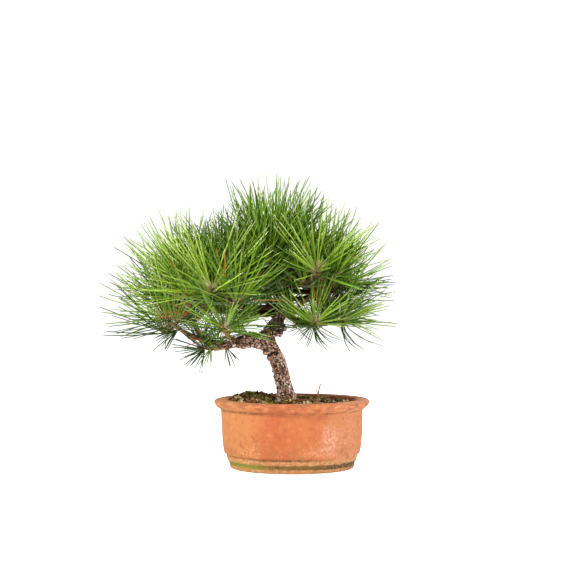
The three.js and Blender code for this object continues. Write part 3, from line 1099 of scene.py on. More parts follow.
@dataclass
class Pot:
    """An oval pot with a stepped foot, a groove over the foot, a rolled lip and two drain holes.

    half_width and height are the wall's, and lip is how far the lip stands out from it. oval is
    how much the circle is pressed in from front and back, growing up to the radius oval_from.
    around, step and softness say how finely it is drawn and how round its corners are. waves
    and ripples say how high and wide the clay's are, and lines how high its throwing lines are.
    """

    effects: SharedEffects
    half_width: float = 91.5
    height: float = 88.5
    oval: float = 20
    oval_from: float = 40
    wall: float = 9
    floor: float = 10
    lip: float = 9
    around: int = 176
    step: float = 1.7
    softness: float = 2.2
    drain_radius: float = 7
    drains_apart: float = 76
    waves: tuple[float, float] = (0.55, 24)
    ripples: tuple[float, float] = (0.16, 5)
    lines: float = 0.07

    @property
    def inside(self) -> float:
        """Half the width of the hollow at the rim."""
        return self.half_width - self.wall

    def pressed(self, places: Array) -> Array:
        """Presses circles into the oval.

        Formula: each place's y shrinks by the share of its radius that the oval takes off.

        Args:
            places: Places on circles round the axis, (..., 3).

        Returns:
            The places on the oval.
        """
        radius = np.linalg.norm(places[..., :2], axis=-1)
        cut = self.oval * np.minimum(1, radius / self.oval_from) / np.maximum(radius, 1e-6)
        return places * np.stack([np.ones_like(cut), 1 - cut, np.ones_like(cut)], axis=-1)

    def profile(self) -> Array:
        """The section from the axis under the floor, over the lip and back to the axis.

        Returns:
            Radius and height along it, (n, 2).
        """
        wall, inside, foot = self.half_width, self.inside, self.half_width - 13
        lip, top, floor = self.lip, self.height, self.floor
        corners = (
            (1, 0), (foot, 0), (foot + 1.6, 1.8), (foot + 2.4, 7.4), (foot + 1.7, 8.3),
            (foot + 4, 9.2), (foot + 6.1, 16.4), (foot + 5.6, 18.2), (foot + 8.8, 19.4),
            (foot + 10.8, 29), (wall - 0.8, 46), (wall, 75.8), (wall + lip * 0.56, 78.2),
            (wall + lip * 0.93, 83.6), (wall + lip, 86.3), (wall + lip * 0.7, top),
            (inside + 1.5, top - 0.3), (inside, top - 2), (inside - 1, 46),
            (inside - 6, floor + 5), (inside - 12, floor), (1, floor),
        )
        return self.softened(np.array(corners, dtype=float))

    def softened(self, corners: Array) -> Array:
        """Rounds a polyline and lays places along it at even steps.

        Formula: each corner becomes a quadratic curve that starts and ends `softness` away from
        it, or under half way to the next corner where that is nearer.

        Args:
            corners: The polyline, (n, 2).

        Returns:
            Places along the rounded line, about `step` apart.
        """
        points = [corners[:1]]
        t = np.linspace(0, 1, 7)
        for before, corner, after in zip(corners, corners[1:], corners[2:]):
            start, end = (
                blend(corner, other, min(self.softness / np.linalg.norm(other - corner), 0.48))
                for other in (before, after)
            )
            points.append(Bezier(np.array([start, corner, end])).at(t))
        line = np.vstack([*points, corners[-1:]])
        length = run_along(line)
        even = np.linspace(0, length[-1], round(length[-1] / self.step))
        return np.stack([np.interp(even, length, line[:, k]) for k in range(2)], axis=-1)

    def form(self) -> Form:
        """Turns the profile round the axis, presses it oval, and gives the clay its unevenness.

        Formula: radius and height from the profile, plus slow waves of noise of half a
        millimetre on the outside, and faint throwing lines that circle the wall.

        Returns:
            The pot as a closed form, without its drain holes.
        """
        radius, height = self.profile().T
        out = outwards(even_angles(self.around))
        grid = self.pressed(radius[:, None, None] * out + height[:, None, None] * UP)
        outside = smooth(self.inside - 16, self.inside - 8, radius)[:, None]
        (high, wide), (low, narrow) = self.waves, self.ripples
        wave = high * noise(grid / wide, 3, 2) + low * noise(grid / narrow, 5, 2)
        lines = self.lines * np.sin(1.9 * grid[..., 2] + 2.5 * noise(grid / 30, 9))
        push = outside * smooth(0.5, 6, grid[..., 2]) * (wave + lines)
        return closed(grid + push[..., None] * out, {})

    def drill(self, piece: bpy.types.Object) -> None:
        """Cuts the two drain holes through the floor with round rods.

        Args:
            piece: The pot.
        """
        rods, past = [], 5
        ring = outwards(even_angles(40)) * self.drain_radius
        for x in (-self.drains_apart / 2, self.drains_apart / 2):
            way = Bezier(np.array([[x, 0, -past], [x, 0, self.floor + past]]))
            rod = closed(way.at(np.linspace(0, 1, 4))[:, None] + ring, {})
            rods.append(rod.piece("drain", piece.data.materials[0]))
            cut = piece.modifiers.new("drain", "BOOLEAN")
            cut.object, cut.operation, cut.solver = rods[-1], "DIFFERENCE", "EXACT"
        graph = bpy.context.evaluated_depsgraph_get()
        drilled = bpy.data.meshes.new_from_object(piece.evaluated_get(graph))
        piece.modifiers.clear()
        piece.data = drilled
        for rod in rods:
            bpy.data.objects.remove(rod)

    def build(self) -> None:
        """Makes the pot, drills it and hands it over."""
        finish = TerracottaFinish(effects=self.effects, lip_from=75.8, step_at=17.6, groove_at=7.9)
        piece = self.form().piece("pot_clay", finish.make())
        self.drill(piece)
        piece.data.set_sharp_from_angle(angle=math.radians(50))
        settle(piece, ["pot"])


# The soil


@dataclass
class SoilBed:
    """The soil that fills the pot, with moss, grit, fallen needles and one dry stalk on it.

    top is its height, foot the middle of the trunk's foot, and level_out_to how far round that
    it is flat. mound is the mossy heap's x and y, its height and how wide and deep it is.
    crumbs and clods say how high and how far apart they are. tufts, chips and litter are how
    many places are tried for moss, grit and fallen needles.
    """

    pot: Pot
    effects: SharedEffects
    rng: Random
    top: float = 83
    foot: Triple = (-7, 0, 84.5)
    level_out_to: float = 22.6
    mound: tuple[float, float, float, float, float] = (-52, 12, 9.5, 34, 40)
    crumbs: tuple[float, float] = (2.8, 4.6)
    clods: tuple[float, float] = (7.6, 10.5)
    around: int = 384
    rings: int = 112
    tufts: int = 3600
    chips: int = 200
    litter: int = 70

    @property
    def reach(self) -> float:
        """Half the width of the soil at its top, clear of the wall."""
        return self.pot.inside - 1.3

    def from_foot(self, x: Array, y: Array) -> Array:
        """How far places are from the middle of the trunk's foot."""
        return np.hypot(x - self.foot[0], y - self.foot[1])

    def height(self, x: Array, y: Array) -> Array:
        """How high the soil is at a place.

        Formula: a bell-shaped heap on the left and two crossing waves, faded out next to the
        wall and blended to the trunk's foot by a fourth-power bell.

        Args:
            x: Places across, in millimetres.
            y: Places in depth.

        Returns:
            Heights above the pot's underside.
        """
        heap_x, heap_y, heap, wide, deep = self.mound
        bell = heap * np.exp(-(((x - heap_x) / wide) ** 2) - ((y - heap_y) / deep) ** 2)
        level = np.exp(-((self.from_foot(x, y) / self.level_out_to) ** 4))
        lumps = 1.5 * np.sin(x * 0.21 + 1.3) * np.cos(y * 0.24 - 0.4)
        lumps += 0.9 * np.sin(x * 0.43 - y * 0.37)
        from_wall = np.hypot(x / self.pot.inside, y / (self.pot.inside - self.pot.oval))
        open_ground = (1 - smooth(0.9, 1, from_wall)) * (1 + bell + lumps)
        return blend(self.top + open_ground, self.foot[2] + 0.4, level)

    def form(self) -> Form:
        """The soil as a body: bottom, sides and a crumbled top.

        Formula: rings of the pot's oval; on the top the height above, plus rounded crumbs and
        clods from scattered points and fine noise.

        Returns:
            The closed form, marked with each crumb's tint and the crevices between them.
        """
        floor, reach = self.pot.floor + 0.3, self.reach
        sides = np.array([[1, floor], [reach - 11, floor], [reach - 5, floor + 5], [reach, 46]])
        radius = np.concatenate([sides[:, 0], np.linspace(reach, 0.6, self.rings)])
        grid = self.pot.pressed(radius[:, None, None] * outwards(even_angles(self.around)))
        grid[:4, :, 2] = sides[:, 1, None]
        top = grid[4:]
        sway = [noise(top / 4, 18, 2), noise(top / 4, 19, 2), np.zeros(top.shape[:2])]
        bent = top + 1.2 * np.stack(sway, axis=-1)
        (crumb_high, crumb_wide), (clod_high, clod_wide) = self.crumbs, self.clods
        near, second, crumb = scattered(bent / crumb_wide, 21)
        clod_near, clod_second, clod = scattered(bent / clod_wide, 22)
        rise = crumb_high * (0.3 + 0.9 * crumb) * (1 - np.minimum(near, 1) ** 2)
        rise += clod_high * (clod - 0.4) * (1 - np.minimum(clod_near, 1) ** 2)
        rough = 0.9 * noise(bent / 3, 23, 3)
        top[..., 2] = self.height(top[..., 0], top[..., 1]) - 2.2 + rise + rough
        tint, crevice = np.zeros((2, *grid.shape[:2]))
        tint[4:] = np.clip(0.95 * crumb + 0.75 * clod - 0.4 + 0.25 * rough, 0, 1)
        between = smooth(0, 0.32, second - near), smooth(0, 0.16, clod_second - clod_near)
        crevice[4:] = 1 - np.minimum(*between)
        return closed(grid, {"tint": tint, "crevice": crevice})

    def spots(self, count: int) -> Array:
        """Random places on the soil's surface, inside the wall and outside the trunk.

        Args:
            count: How many are tried.

        Returns:
            Those that are clear of the trunk, (n, 3).
        """
        radius = (self.reach - 1.5) * np.sqrt(self.rng.random(count))
        angle = 2 * math.pi * self.rng.random(count)
        place = self.pot.pressed(radius[:, None] * outwards(angle))
        place = place[self.from_foot(place[:, 0], place[:, 1]) > 15]
        place[:, 2] = self.height(place[:, 0], place[:, 1])
        return place

    def moss(self, seed: int, share: float) -> Spikes:
        """Short leafy shoots in cushions.

        Formula: places are kept where slow noise is high or the heap is near; each shoot leans
        its own way and is taller in its cushion's middle.

        Args:
            seed: Which noise the cushions follow.
            share: How low the noise may be where there still is moss.

        Returns:
            The shoots.
        """
        place = self.spots(self.tufts)
        cushion = noise(place / 11, seed, 2) + 0.25 * (place[:, 2] - self.top) / self.mound[2]
        place, cushion = place[cushion > share], cushion[cushion > share]
        tall = smooth(share, share + 0.7, cushion)
        way = unit(self.rng.normal(0, 0.55, place.shape) + UP)
        count = len(place)
        return Spikes(
            place + UP * (1.6 * tall - 1.4)[:, None],
            way,
            (2.4 + 2.8 * tall) * (0.7 + 0.6 * self.rng.random(count)),
            1.3 + 0.8 * self.rng.random(count),
            self.rng.normal(0, 0.5, place.shape),
            self.rng.normal(0, 1, place.shape),
        )

    def grit(self) -> Form:
        """Angular chips, half sunk in the soil.

        Formula: the six corners of an octahedron, each moved in or out and all turned about Z.

        Returns:
            All chips as one form.
        """
        place = self.spots(self.chips)
        count = len(place)
        corners = np.vstack([RIGHT, AWAY, -RIGHT, -AWAY, UP, -UP])
        upper = [[k, (k + 1) % 4, 4] for k in range(4)]
        faces = np.array(upper + [[after, k, 5] for k, after, _ in upper])
        size = (0.7 + 1.8 * self.rng.random(count) ** 3)[:, None, None]
        uneven = 0.65 + 0.6 * self.rng.random((count, 6, 1))
        ahead = outwards(2 * math.pi * self.rng.random(count))[:, None]
        shape = corners * uneven * size * np.array([1.2, 0.9, 0.8])
        turned = shape[..., :1] * ahead + shape[..., 1:2] * np.cross(UP, ahead) + shape * UP
        offset = (len(corners) * np.arange(count))[:, None, None]
        return Form(
            (turned + (place + UP * 0.9)[:, None]).reshape(-1, 3),
            np.zeros((0, 4), dtype=int),
            (faces + offset).reshape(-1, 3),
        )

    def fallen(self) -> Spikes:
        """Dead needles that lie on the soil round the trunk.

        Returns:
            The needles.
        """
        place = self.spots(self.litter)
        count = len(place)
        way = unit(self.rng.normal(0, 1, place.shape) * np.array([1, 1, 0.08]))
        return Spikes(
            place + UP * 2.2,
            way,
            14 + 14 * self.rng.random(count),
            np.full(count, 1.0),
            self.rng.normal(0, 1.6, place.shape) * np.array([1, 1, 0.3]),
            np.tile(UP, (count, 1)),
        ).picked(np.hypot(place[:, 0], place[:, 1] * 1.3) < 48)

    @staticmethod
    def stalk() -> Form:
        """The dry stalk beside the trunk, with its one fork.

        Returns:
            Both as one form.
        """
        stem = np.array([[32, -40, 82], [32.5, -40, 90], [33, -41, 100], [36, -40, 112]], float)
        side = np.array([[33, -41, 99], [31, -43, 102], [30, -43, 106]], float)
        limbs = (
            Limb(Knots(stem), lambda t: 1.2 - 0.35 * t, rings=24, around=8),
            Limb(Knots(side), lambda t: 0.8 - 0.25 * t, rings=10, around=6),
        )
        return Form.joined([limb.skin(SmoothRind()) for limb in limbs])

    def build(self, dead: Material, wood: Material) -> None:
        """Makes the soil and all that lies on it.

        Args:
            dead: The finish of dead needles.
            wood: The finish of thin dry wood.
        """
        earth = EarthFinish(effects=self.effects)
        settle(self.form().piece("soil_bed", earth.make()), ["soil"])
        blade = ((0.0, 0.7), (0.45, 1.0), (0.8, 0.6))
        kinds = (
            ("moss_olive", ("4d4a17", "77701f", "a59a3c"), 31, 0.42),
            ("moss_rust", ("5a3818", "865a2a", "b48a4c"), 57, 0.45),
        )
        for name, tints, seed, share in kinds:
            values = {"effects": self.effects, "patch": 7.0, "speck": 1.4, "depth": 0.2}
            finish = GroundFinish(name=name, tints=tints, **values)
            form = replace(self.moss(seed, share).form(blade), marks={})
            settle(form.piece(name, finish.make()), [])
        tints = ("a58c76", "cdbba8", "efe6da")
        stone = GroundFinish(effects=self.effects, name="grit", tints=tints, patch=5.0)
        settle(self.grit().piece("grit", stone.make(), rounded=False), [])
        needles = self.fallen().form(NEEDLE_PROFILE)
        settle(needles.piece("fallen_needles", dead, "along"), [])
        settle(self.stalk().piece("dry_stalk", wood), [])


# Wood


@dataclass(frozen=True)
class Bark:
    """Plates between crevices, and folds that ring the limb.

    Formula: the surface is measured round and along the limb in flakes of `wide` by `long`,
    bent a little by noise, and in plates twice as large. Where the nearest two scattered points
    are equally far there is a crevice; a flake rises by up to `depth` in between. Each fold is a
    bell-shaped groove at its place along the limb, so deep, tilted by its lean, and deepest on
    the side it faces, with a roll of bark on either side, the larger one beyond it.
    """

    wide: float = 2.6
    long: float = 4.4
    depth: float = 1.4
    wobble: float = 0.07
    seed: int = 11
    folds: tuple[tuple[float, float, float, float], ...] = ()

    def on(self, length: Array, angle: Array, radius: Array) -> Relief:
        """The relief on a grid.

        Args:
            length: Distance along the limb, (rings, 1).
            angle: Angle round it, (1, around).
            radius: Its radius, (rings, around).

        Returns:
            Height over the plain radius, depth of crevice from 0 to 1, and each plate's number.
        """
        girth = radius.mean() / self.wide
        place = girth * outwards(angle) + (length / self.long)[..., None] * UP
        sway = [noise(place * 1.3, self.seed + k, 2) for k in (1, 2, 3)]
        bent = place + 0.4 * np.stack(sway, axis=-1)
        near, second, number = scattered(bent, self.seed)
        plate_near, plate_second, plate_number = scattered(bent / 2.1 + 7.3, self.seed + 3)
        flake, plate = smooth(0, 0.3, second - near), smooth(0, 0.13, plate_second - plate_near)
        rough = 0.35 * noise(bent * 2.7, self.seed + 5, 3)
        height = self.depth * (flake * (0.5 + 0.8 * number) + 0.6 * plate - 1.35 + rough)
        height = height + self.wobble * radius * noise(place * 0.4, self.seed + 8, 2)
        crevice = np.maximum(0.95 * (1 - flake), 1 - plate)
        number = np.clip(0.8 * number**1.4 + 0.75 * plate_number - 0.27 + 0.5 * rough, 0, 1)
        for at, deep, lean, facing in self.folds:
            side = smooth(-0.5, 0.7, np.cos(angle - math.radians(facing)))
            away = length + lean * np.cos(angle) + 1.6 * noise(place * 0.5, self.seed + 12, 2) - at
            groove = side * np.exp(-((away / (0.9 + 0.2 * deep)) ** 2))
            over, under = (np.exp(-(((away + step) / 3.2) ** 2)) for step in (-4, 4))
            height = height - deep * groove + deep * side * (0.55 * over + 0.3 * under)
            crevice = np.maximum(crevice, groove * min(1.0, deep / 1.4))
        return height, crevice, number


@dataclass(frozen=True)
class ScaleRind:
    """The rind of a twig: small scales where needles once stood, in two crossing spirals."""

    height: float = 0.32
    apart: float = 2.6
    seed: int = 41

    def on(self, length: Array, angle: Array, radius: Array) -> Relief:
        """The relief: the product of two waves that wind round the twig in opposite ways.

        Args:
            length: Distance along the twig, (rings, 1).
            angle: Angle round it, (1, around).
            radius: Its radius, (rings, around).

        Returns:
            Height over the plain radius, depth of crevice from 0 to 1, and a tint from 0 to 1.
        """
        turn = 2 * math.pi * length / self.apart
        scales = np.cos(2 * angle + turn) * np.cos(3 * angle - turn)
        place = outwards(angle) + (length / 3)[..., None] * UP
        rough = noise(place * 1.6, self.seed, 3)
        height = self.height * (scales + 0.8 * rough) * np.minimum(1, radius / 1.5)
        return height, smooth(0.1, 1.1, -scales - 0.5 * rough), 0.5 + 0.5 * np.clip(rough, -1, 1)


@dataclass(frozen=True)
class SmoothRind:
    """A bare rind with no relief."""

    def on(self, length: Array, angle: Array, radius: Array) -> Relief:
        """No height, no crevices and one tint, on the grid that the radius has."""
        return 0 * radius, 0 * radius, 0 * radius + 0.8


@dataclass(frozen=True)
class Limb:
    """A length of wood.

    path is its middle line, radius its thickness at shares of the path, rings and around how
    finely it is drawn, and swell by how much it is thicker at shares of the path and angles.
    """

    path: Path
    radius: Callable[[Array], Array]
    rings: int
    around: int
    swell: Callable[[Array, Array], Array] | None = None

    @staticmethod
    def through(knots: tuple[tuple[float, ...], ...], rings: int, around: int) -> "Limb":
        """A limb through known places, its radius going in straight lines from knot to knot.

        Args:
            knots: x, y, z and radius at each knot.
            rings: How many rings it is drawn with.
            around: How many places each ring has.

        Returns:
            The limb.
        """
        values = np.array(knots, dtype=float)
        at = np.linspace(0, 1, len(values))
        return Limb(Knots(values[:, :3]), lambda t: np.interp(t, at, values[:, 3]), rings, around)

    def skin(self, rind: Bark | ScaleRind | SmoothRind, flat_foot: float | None = None) -> Form:
        """Carries the relief along the path.

        Formula: centre plus radius plus relief, along the vectors across and beside the path.
        The far end is rounded like a quarter circle over its last radius of length.

        Args:
            rind: The relief.
            flat_foot: The height at which the limb's foot is cut flat, if it is.

        Returns:
            The limb as a closed form, marked with crevice and plate.
        """
        t = np.linspace(0, 1, self.rings)
        centres = self.path.at(t)
        across, beside = frames(centres)
        length = run_along(centres)[:, None]
        angle = even_angles(self.around)[None]
        radius = np.broadcast_to(self.radius(t), t.shape)[:, None] + 0 * angle
        if self.swell:
            radius = radius * self.swell(t[:, None], angle)
        height, crevice, plate = rind.on(length, angle, radius)
        left = (length[-1] - length) / radius[-1].mean()
        rounded = np.sqrt(1 - (1 - np.clip(left, 0.02, 1)) ** 2)
        cosine, sine = np.cos(angle)[..., None], np.sin(angle)[..., None]
        out = across[:, None] * cosine + beside[:, None] * sine
        grid = centres[:, None] + out * ((radius + height) * rounded)[..., None]
        if flat_foot is not None:
            above = centres[:, 2, None] - flat_foot
            tilt = grid[..., 2] - centres[:, 2, None]
            grid[..., 2] = flat_foot + above - above[0] + tilt * smooth(0, 9, above - above[0])
        return closed(grid, {"crevice": crevice + 0 * radius, "plate": plate + 0 * radius})

    def rods(self, count: int) -> Array:
        """Places along the limb with its radius there, (count, 4), to keep needles off it."""
        t = np.linspace(0, 1, count)
        return np.column_stack([self.path.at(t), np.broadcast_to(self.radius(t), t.shape)])


TRUNK_KNOTS = (
    (-6.5, 0, 81.5, 12.2), (-9.8, 0.5, 100, 10.7), (-14.4, 1, 120, 10.1), (-19.3, 1, 136, 10),
    (-27.3, 0, 149.5, 10.4), (-32, -1, 162, 10.6), (-27, 0, 174.5, 8.8), (-17.5, 1, 187, 7.4),
    (-12.6, 2, 202, 7), (-11, 3, 224, 6.3), (-13, 4, 240, 5), (-17, 5, 254, 3.9),
)
TRUNK_FOLDS = ((66.5, 3.0, 1.5, 232), (77, 1.2, -3, 160), (38, 0.8, 2.0, 250), (118, 0.9, 2.5, 270))
LEFT_BOUGH_KNOTS = (
    (-31.5, -1, 161, 10.4), (-48, -3, 163, 9.9), (-62, -5, 162, 9.2), (-74, -6, 159.5, 6.2),
    (-88, -7, 157, 5.2), (-102, -8, 153, 4.7),
)
LEFT_BOUGH_FOLDS = (
    (14, 1.1, 4, 250), (20, 0.9, -3, 300), (26, 1.2, 3, 270), (33, 1.2, 4.5, 240),
    (42, 0.8, -2.5, 280), (58, 0.7, 1, 270),
)


@dataclass
class OldWood:
    """The trunk and the thick left bough, with cut stubs and all their bark.

    foot_z is the height of the trunk's flat foot, and flare the radius of the root flare there.
    Each stub has its start, its end and its radius: one at the fork, one low on the trunk, the
    knob on the trunk's right and the burl on the left bough's root.
    """

    bark: Material
    foot_z: float = 84.5
    flare: float = 13.6
    stubs: tuple[tuple[Triple, Triple, float], ...] = (
        ((-22, -1, 173), (-11.5, -3, 174.5), 5.2),
        ((-16, 0, 122), (-26.5, -3, 123.5), 0.9),
        ((-16, 0, 187), (-8, -4, 176), 4.0),
        ((-38, -3, 167), (-62, -4, 167.5), 8.0),
    )

    def __post_init__(self) -> None:
        """Lays out both limbs."""
        self.trunk = replace(Limb.through(TRUNK_KNOTS, rings=330, around=104), swell=self.swelling)
        self.left_bough = Limb.through(LEFT_BOUGH_KNOTS, rings=150, around=72)

    def swelling(self, t: Array, angle: Array) -> Array:
        """How the trunk swells into surface roots: a flare that dies out with height, in lobes."""
        lobes = 0.09 * np.cos(0.6 - 3 * angle) + 0.05 * np.cos(5 * angle + 1)
        return 1 + np.exp(-26 * t) * (self.flare / TRUNK_KNOTS[0][3] - 1 + lobes)

    def fork(self, place: float) -> Array:
        """Where a bough leaves its parent.

        Args:
            place: The height on the trunk or, up to 1, the share of the left bough's length.

        Returns:
            The place on the parent's middle line, which on the trunk is found by halving.
        """
        if place <= 1:
            return place_at(self.left_bough.path, place)
        low, high = 0.0, 1.0
        for _ in range(30):
            middle = (low + high) / 2
            below = place_at(self.trunk.path, middle)[2] < place
            low, high = (middle, high) if below else (low, middle)
        return place_at(self.trunk.path, low)

    def build(self) -> None:
        """Makes the trunk with its stubs, and the left bough with its knob."""
        parts = [self.trunk.skin(Bark(folds=TRUNK_FOLDS), self.foot_z)]
        for number, (start, end, radius) in enumerate(self.stubs):
            path = Bezier(np.array([start, end], dtype=float))
            stub = Limb(path, lambda t, r=radius: r * (1.1 - 0.25 * t), rings=26, around=36)
            bark = Bark(wide=2.4, long=2.6, depth=0.18 * radius, wobble=0.3, seed=60 + number)
            parts.append(stub.skin(bark))
        settle(Form.joined(parts).piece("trunk_bark", self.bark), ["trunk"])
        bark = Bark(folds=LEFT_BOUGH_FOLDS, seed=23, depth=1.2, wobble=0.2)
        bough = self.left_bough.skin(bark)
        settle(bough.piece("left_bough_bark", self.bark), ["left_bough"])


# The crown


@dataclass(frozen=True)
class Mass:
    """One mass of foliage.

    place is the height at which its bough leaves the trunk or, up to 1, the share of the left
    bough's length. tip is where the leading shoot stands and aim the way it points. shoots,
    spread and roll say how many shoots there are, how far they stand from the leader, and where
    round it the first is. needle is the length of its needles, tone its green, shown whether
    the heart of its leading shoot lies open to the camera, and hanging how many bent needles
    hang from its foot.
    """

    name: str
    place: float
    tip: Triple
    aim: Triple
    shoots: int
    spread: float
    roll: float
    needle: float
    tone: Tone
    shown: bool = False
    hanging: int = 0

    @property
    def on_limb_end(self) -> bool:
        """Whether it grows straight on from the end of its limb, with no bough of its own."""
        return self.name in ("apex", "left_low")

    @property
    def heart(self) -> Array:
        """Where its leading shoot stands."""
        return np.array(self.tip, dtype=float)

    @property
    def way(self) -> Array:
        """The way its leading shoot points, as a unit vector."""
        return unit(np.array(self.aim, dtype=float))


MASSES = tuple(Mass(*row) for row in (
    ("left_front", 206, (-98, -70, 228), (-0.12, -0.6, 0.75), 3, 34, 160, 88, BRIGHT, True),
    ("left_under", 0.5, (-83, -60, 182), (0.1, -0.8, 0.5), 2, 24, 260, 62, FRESH, True),
    ("left_low", 1, (-112, -12, 154), (-0.9, -0.2, -0.1), 1, 0, 0, 36, OLD),
    ("left_outer", 0.72, (-162, -25, 194), (-0.66, -0.15, 0.7), 3, 26, 200, 78, FRESH, True),
    ("left_mid", 196, (-136, 2, 230), (-0.5, -0.1, 0.85), 3, 28, 220, 90, FRESH),
    ("left_back", 203, (-126, 56, 218), (-0.42, 0.55, 0.75), 3, 30, 280, 76, MID),
    ("left_top", 224, (-92, 6, 254), (-0.3, 0.05, 0.95), 4, 32, 240, 78, MID),
    ("back_left", 214, (-62, 72, 234), (-0.15, 0.72, 0.7), 3, 32, 280, 74, MID),
    ("apex", 254, (-24, 4, 276), (0.08, 0.04, 1), 4, 30, 80, 92, FRESH),
    ("apex_front", 242, (-30, -42, 262), (-0.06, -0.5, 0.86), 3, 30, 40, 84, MID),
    ("right_front", 230, (31, -50, 254), (0.25, -0.55, 0.8), 3, 28, 5, 76, BRIGHT, True),
    ("right_top", 238, (44, 18, 258), (0.42, 0.12, 0.9), 4, 28, 280, 74, FRESH),
    ("right_outer", 227, (70, -2, 236), (0.8, -0.05, 0.6), 3, 24, 140, 58, FRESH),
    ("right_low", 208, (64, -14, 191), (0.75, -0.2, 0.5), 3, 24, 340, 68, FRESH, False, 8),
    ("right_inner", 198, (28, -42, 188), (0.15, -0.75, 0.55), 2, 22, 160, 56, FRESH, True, 10),
    ("right_back", 217, (34, 60, 230), (0.38, 0.66, 0.65), 3, 30, 80, 72, MID),
    ("back_low", 202, (-20, 66, 206), (0, 0.8, 0.6), 3, 28, 300, 62, DEEP),
))


@dataclass(frozen=True)
class Tuft:
    """A few needles on their own: where, which way, how many pairs, how long and how green."""

    base: Triple
    aim: Triple
    pairs: int
    needle: float
    tone: Tone = OLD


TUFTS = tuple(Tuft(*row) for row in (
    ((-84, -11, 154), (0.45, -0.4, -0.75), 3, 25),
    ((-112, -14, 152), (-0.7, -0.3, -0.75), 5, 34),
    ((-24, -9, 176), (-0.2, -0.8, 0.3), 5, 30),
    ((-146, -22, 177), (-0.85, -0.3, -0.45), 6, 32),
    ((27, -43, 187), (-0.95, -0.3, 0.05), 6, 38, DEEP),
    ((27, -43, 186), (-0.6, -0.3, -0.7), 3, 30, DEEP),
    ((-104, -14, 152), (-0.5, -0.3, -0.85), 3, 22, MID),
    ((-82, -60, 182), (0.93, -0.2, 0.2), 8, 60, MID),
    ((-84, -58, 180), (-0.8, -0.3, -0.1), 6, 30, DEEP),
    ((66, -14, 190), (1, -0.1, 0.12), 6, 56, FRESH),
    ((-22, 3, 280), (0.14, -0.05, 1), 6, 90, FRESH),
    ((-22, 3, 280), (0.22, -0.05, 1), 4, 94, MID),
    ((-138, 2, 232), (-0.72, -0.05, 0.7), 7, 96, FRESH),
    ((-118, -14, 168), (0.6, -0.3, -0.1), 6, 30, MID),
    ((-104, -14, 163), (-0.9, -0.3, 0.45), 3, 30, DEAD),
    ((-127, -64, 207), (-0.35, -0.1, 1), 2, 50, DEAD),
    ((-126, -52, 200), (-1, -0.2, 0.1), 3, 34, DEAD),
    ((-134, 0, 236), (-0.12, -0.1, 1), 9, 99, FRESH),
    ((-58, -12, 174), (-0.7, -0.3, 0.35), 7, 36, DEEP),
    ((-96, -12, 160), (0.35, -0.4, 0.7), 6, 30, DEEP),
))


@dataclass(frozen=True)
class Clearing:
    """A gap in the crown: an oval on the plane through the trunk, as the camera sees it.

    x and z are its middle, wide and high its half sizes, and kept the share of the needles
    across it that stay.
    """

    x: float
    z: float
    wide: float
    high: float
    kept: float = 0.0

    def covers(self, sight: Array) -> Array:
        """Whether each place on the plane, (..., 2), lies within the oval."""
        return np.linalg.norm((sight - (self.x, self.z)) / (self.wide, self.high), axis=-1) < 1


CLEARINGS = tuple(Clearing(*row) for row in (
    (14, 225, 13, 7, 0.12), (58, 226, 12, 6, 0.25), (-27, 192, 10, 21, 0.4), (-6, 168, 9, 13, 0.05),
    (-52, 156, 24, 9), (-60, 143, 30, 7), (-88, 144, 26, 10, 0.08), (62, 350, 14, 10, 0.2),
    (-24, 405, 100, 21), (100, 316, 26, 28, 0.6), (-120, 342, 9, 34, 0.12), (-81, 327, 7, 12, 0.35),
    (96, 258, 18, 16, 0.5), (110, 172, 28, 13, 0.3), (46, 173, 16, 9, 0.25), (11, 170, 12, 9, 0.6),
    (44, 304, 18, 20, 0.6), (-160, 350, 10, 14), (60, 160, 34, 15, 0.25), (118, 236, 28, 40, 0.6),
    (-206, 175, 38, 11, 0.5), (-206, 204, 36, 12, 0.75), (-136, 150, 14, 8, 0.5), (5, 243, 6, 6, 0.9),
    (-46, 173, 20, 7, 0.1), (-228, 138, 58, 26), (-104, 348, 14, 17, 0.1), (-140, 165, 22, 8, 0.3),
))

NEEDLE_PROFILE = ((0.0, 0.75), (0.3, 1.0), (0.65, 1.0), (0.94, 0.72))
SHEATH_PROFILE = ((0.0, 0.8), (0.45, 1.0), (0.85, 0.7))
BUD_PROFILE = ((0.0, 0.55), (0.2, 0.95), (0.4, 1.0), (0.65, 0.75), (0.88, 0.35))


class Dice:
    """The seeded die that places the shoots: the state times a factor, modulo a large prime."""

    FACTOR = 48271
    PRIME = 2147483647

    def __init__(self, seed: int) -> None:
        """Starts four throws on from a seed."""
        self.state = (1 + seed) * self.FACTOR**4 % self.PRIME

    def roll(self) -> float:
        """The next number from 0 to 1."""
        self.state = self.state * self.FACTOR % self.PRIME
        return self.state / self.PRIME


@dataclass(frozen=True)
class Shoot:
    """A shoot: where it stands, the way it points, where it forks off, and how strong it is."""

    base: Array
    aim: Array
    fork: float
    vigour: float = 1.0
    leader: bool = False


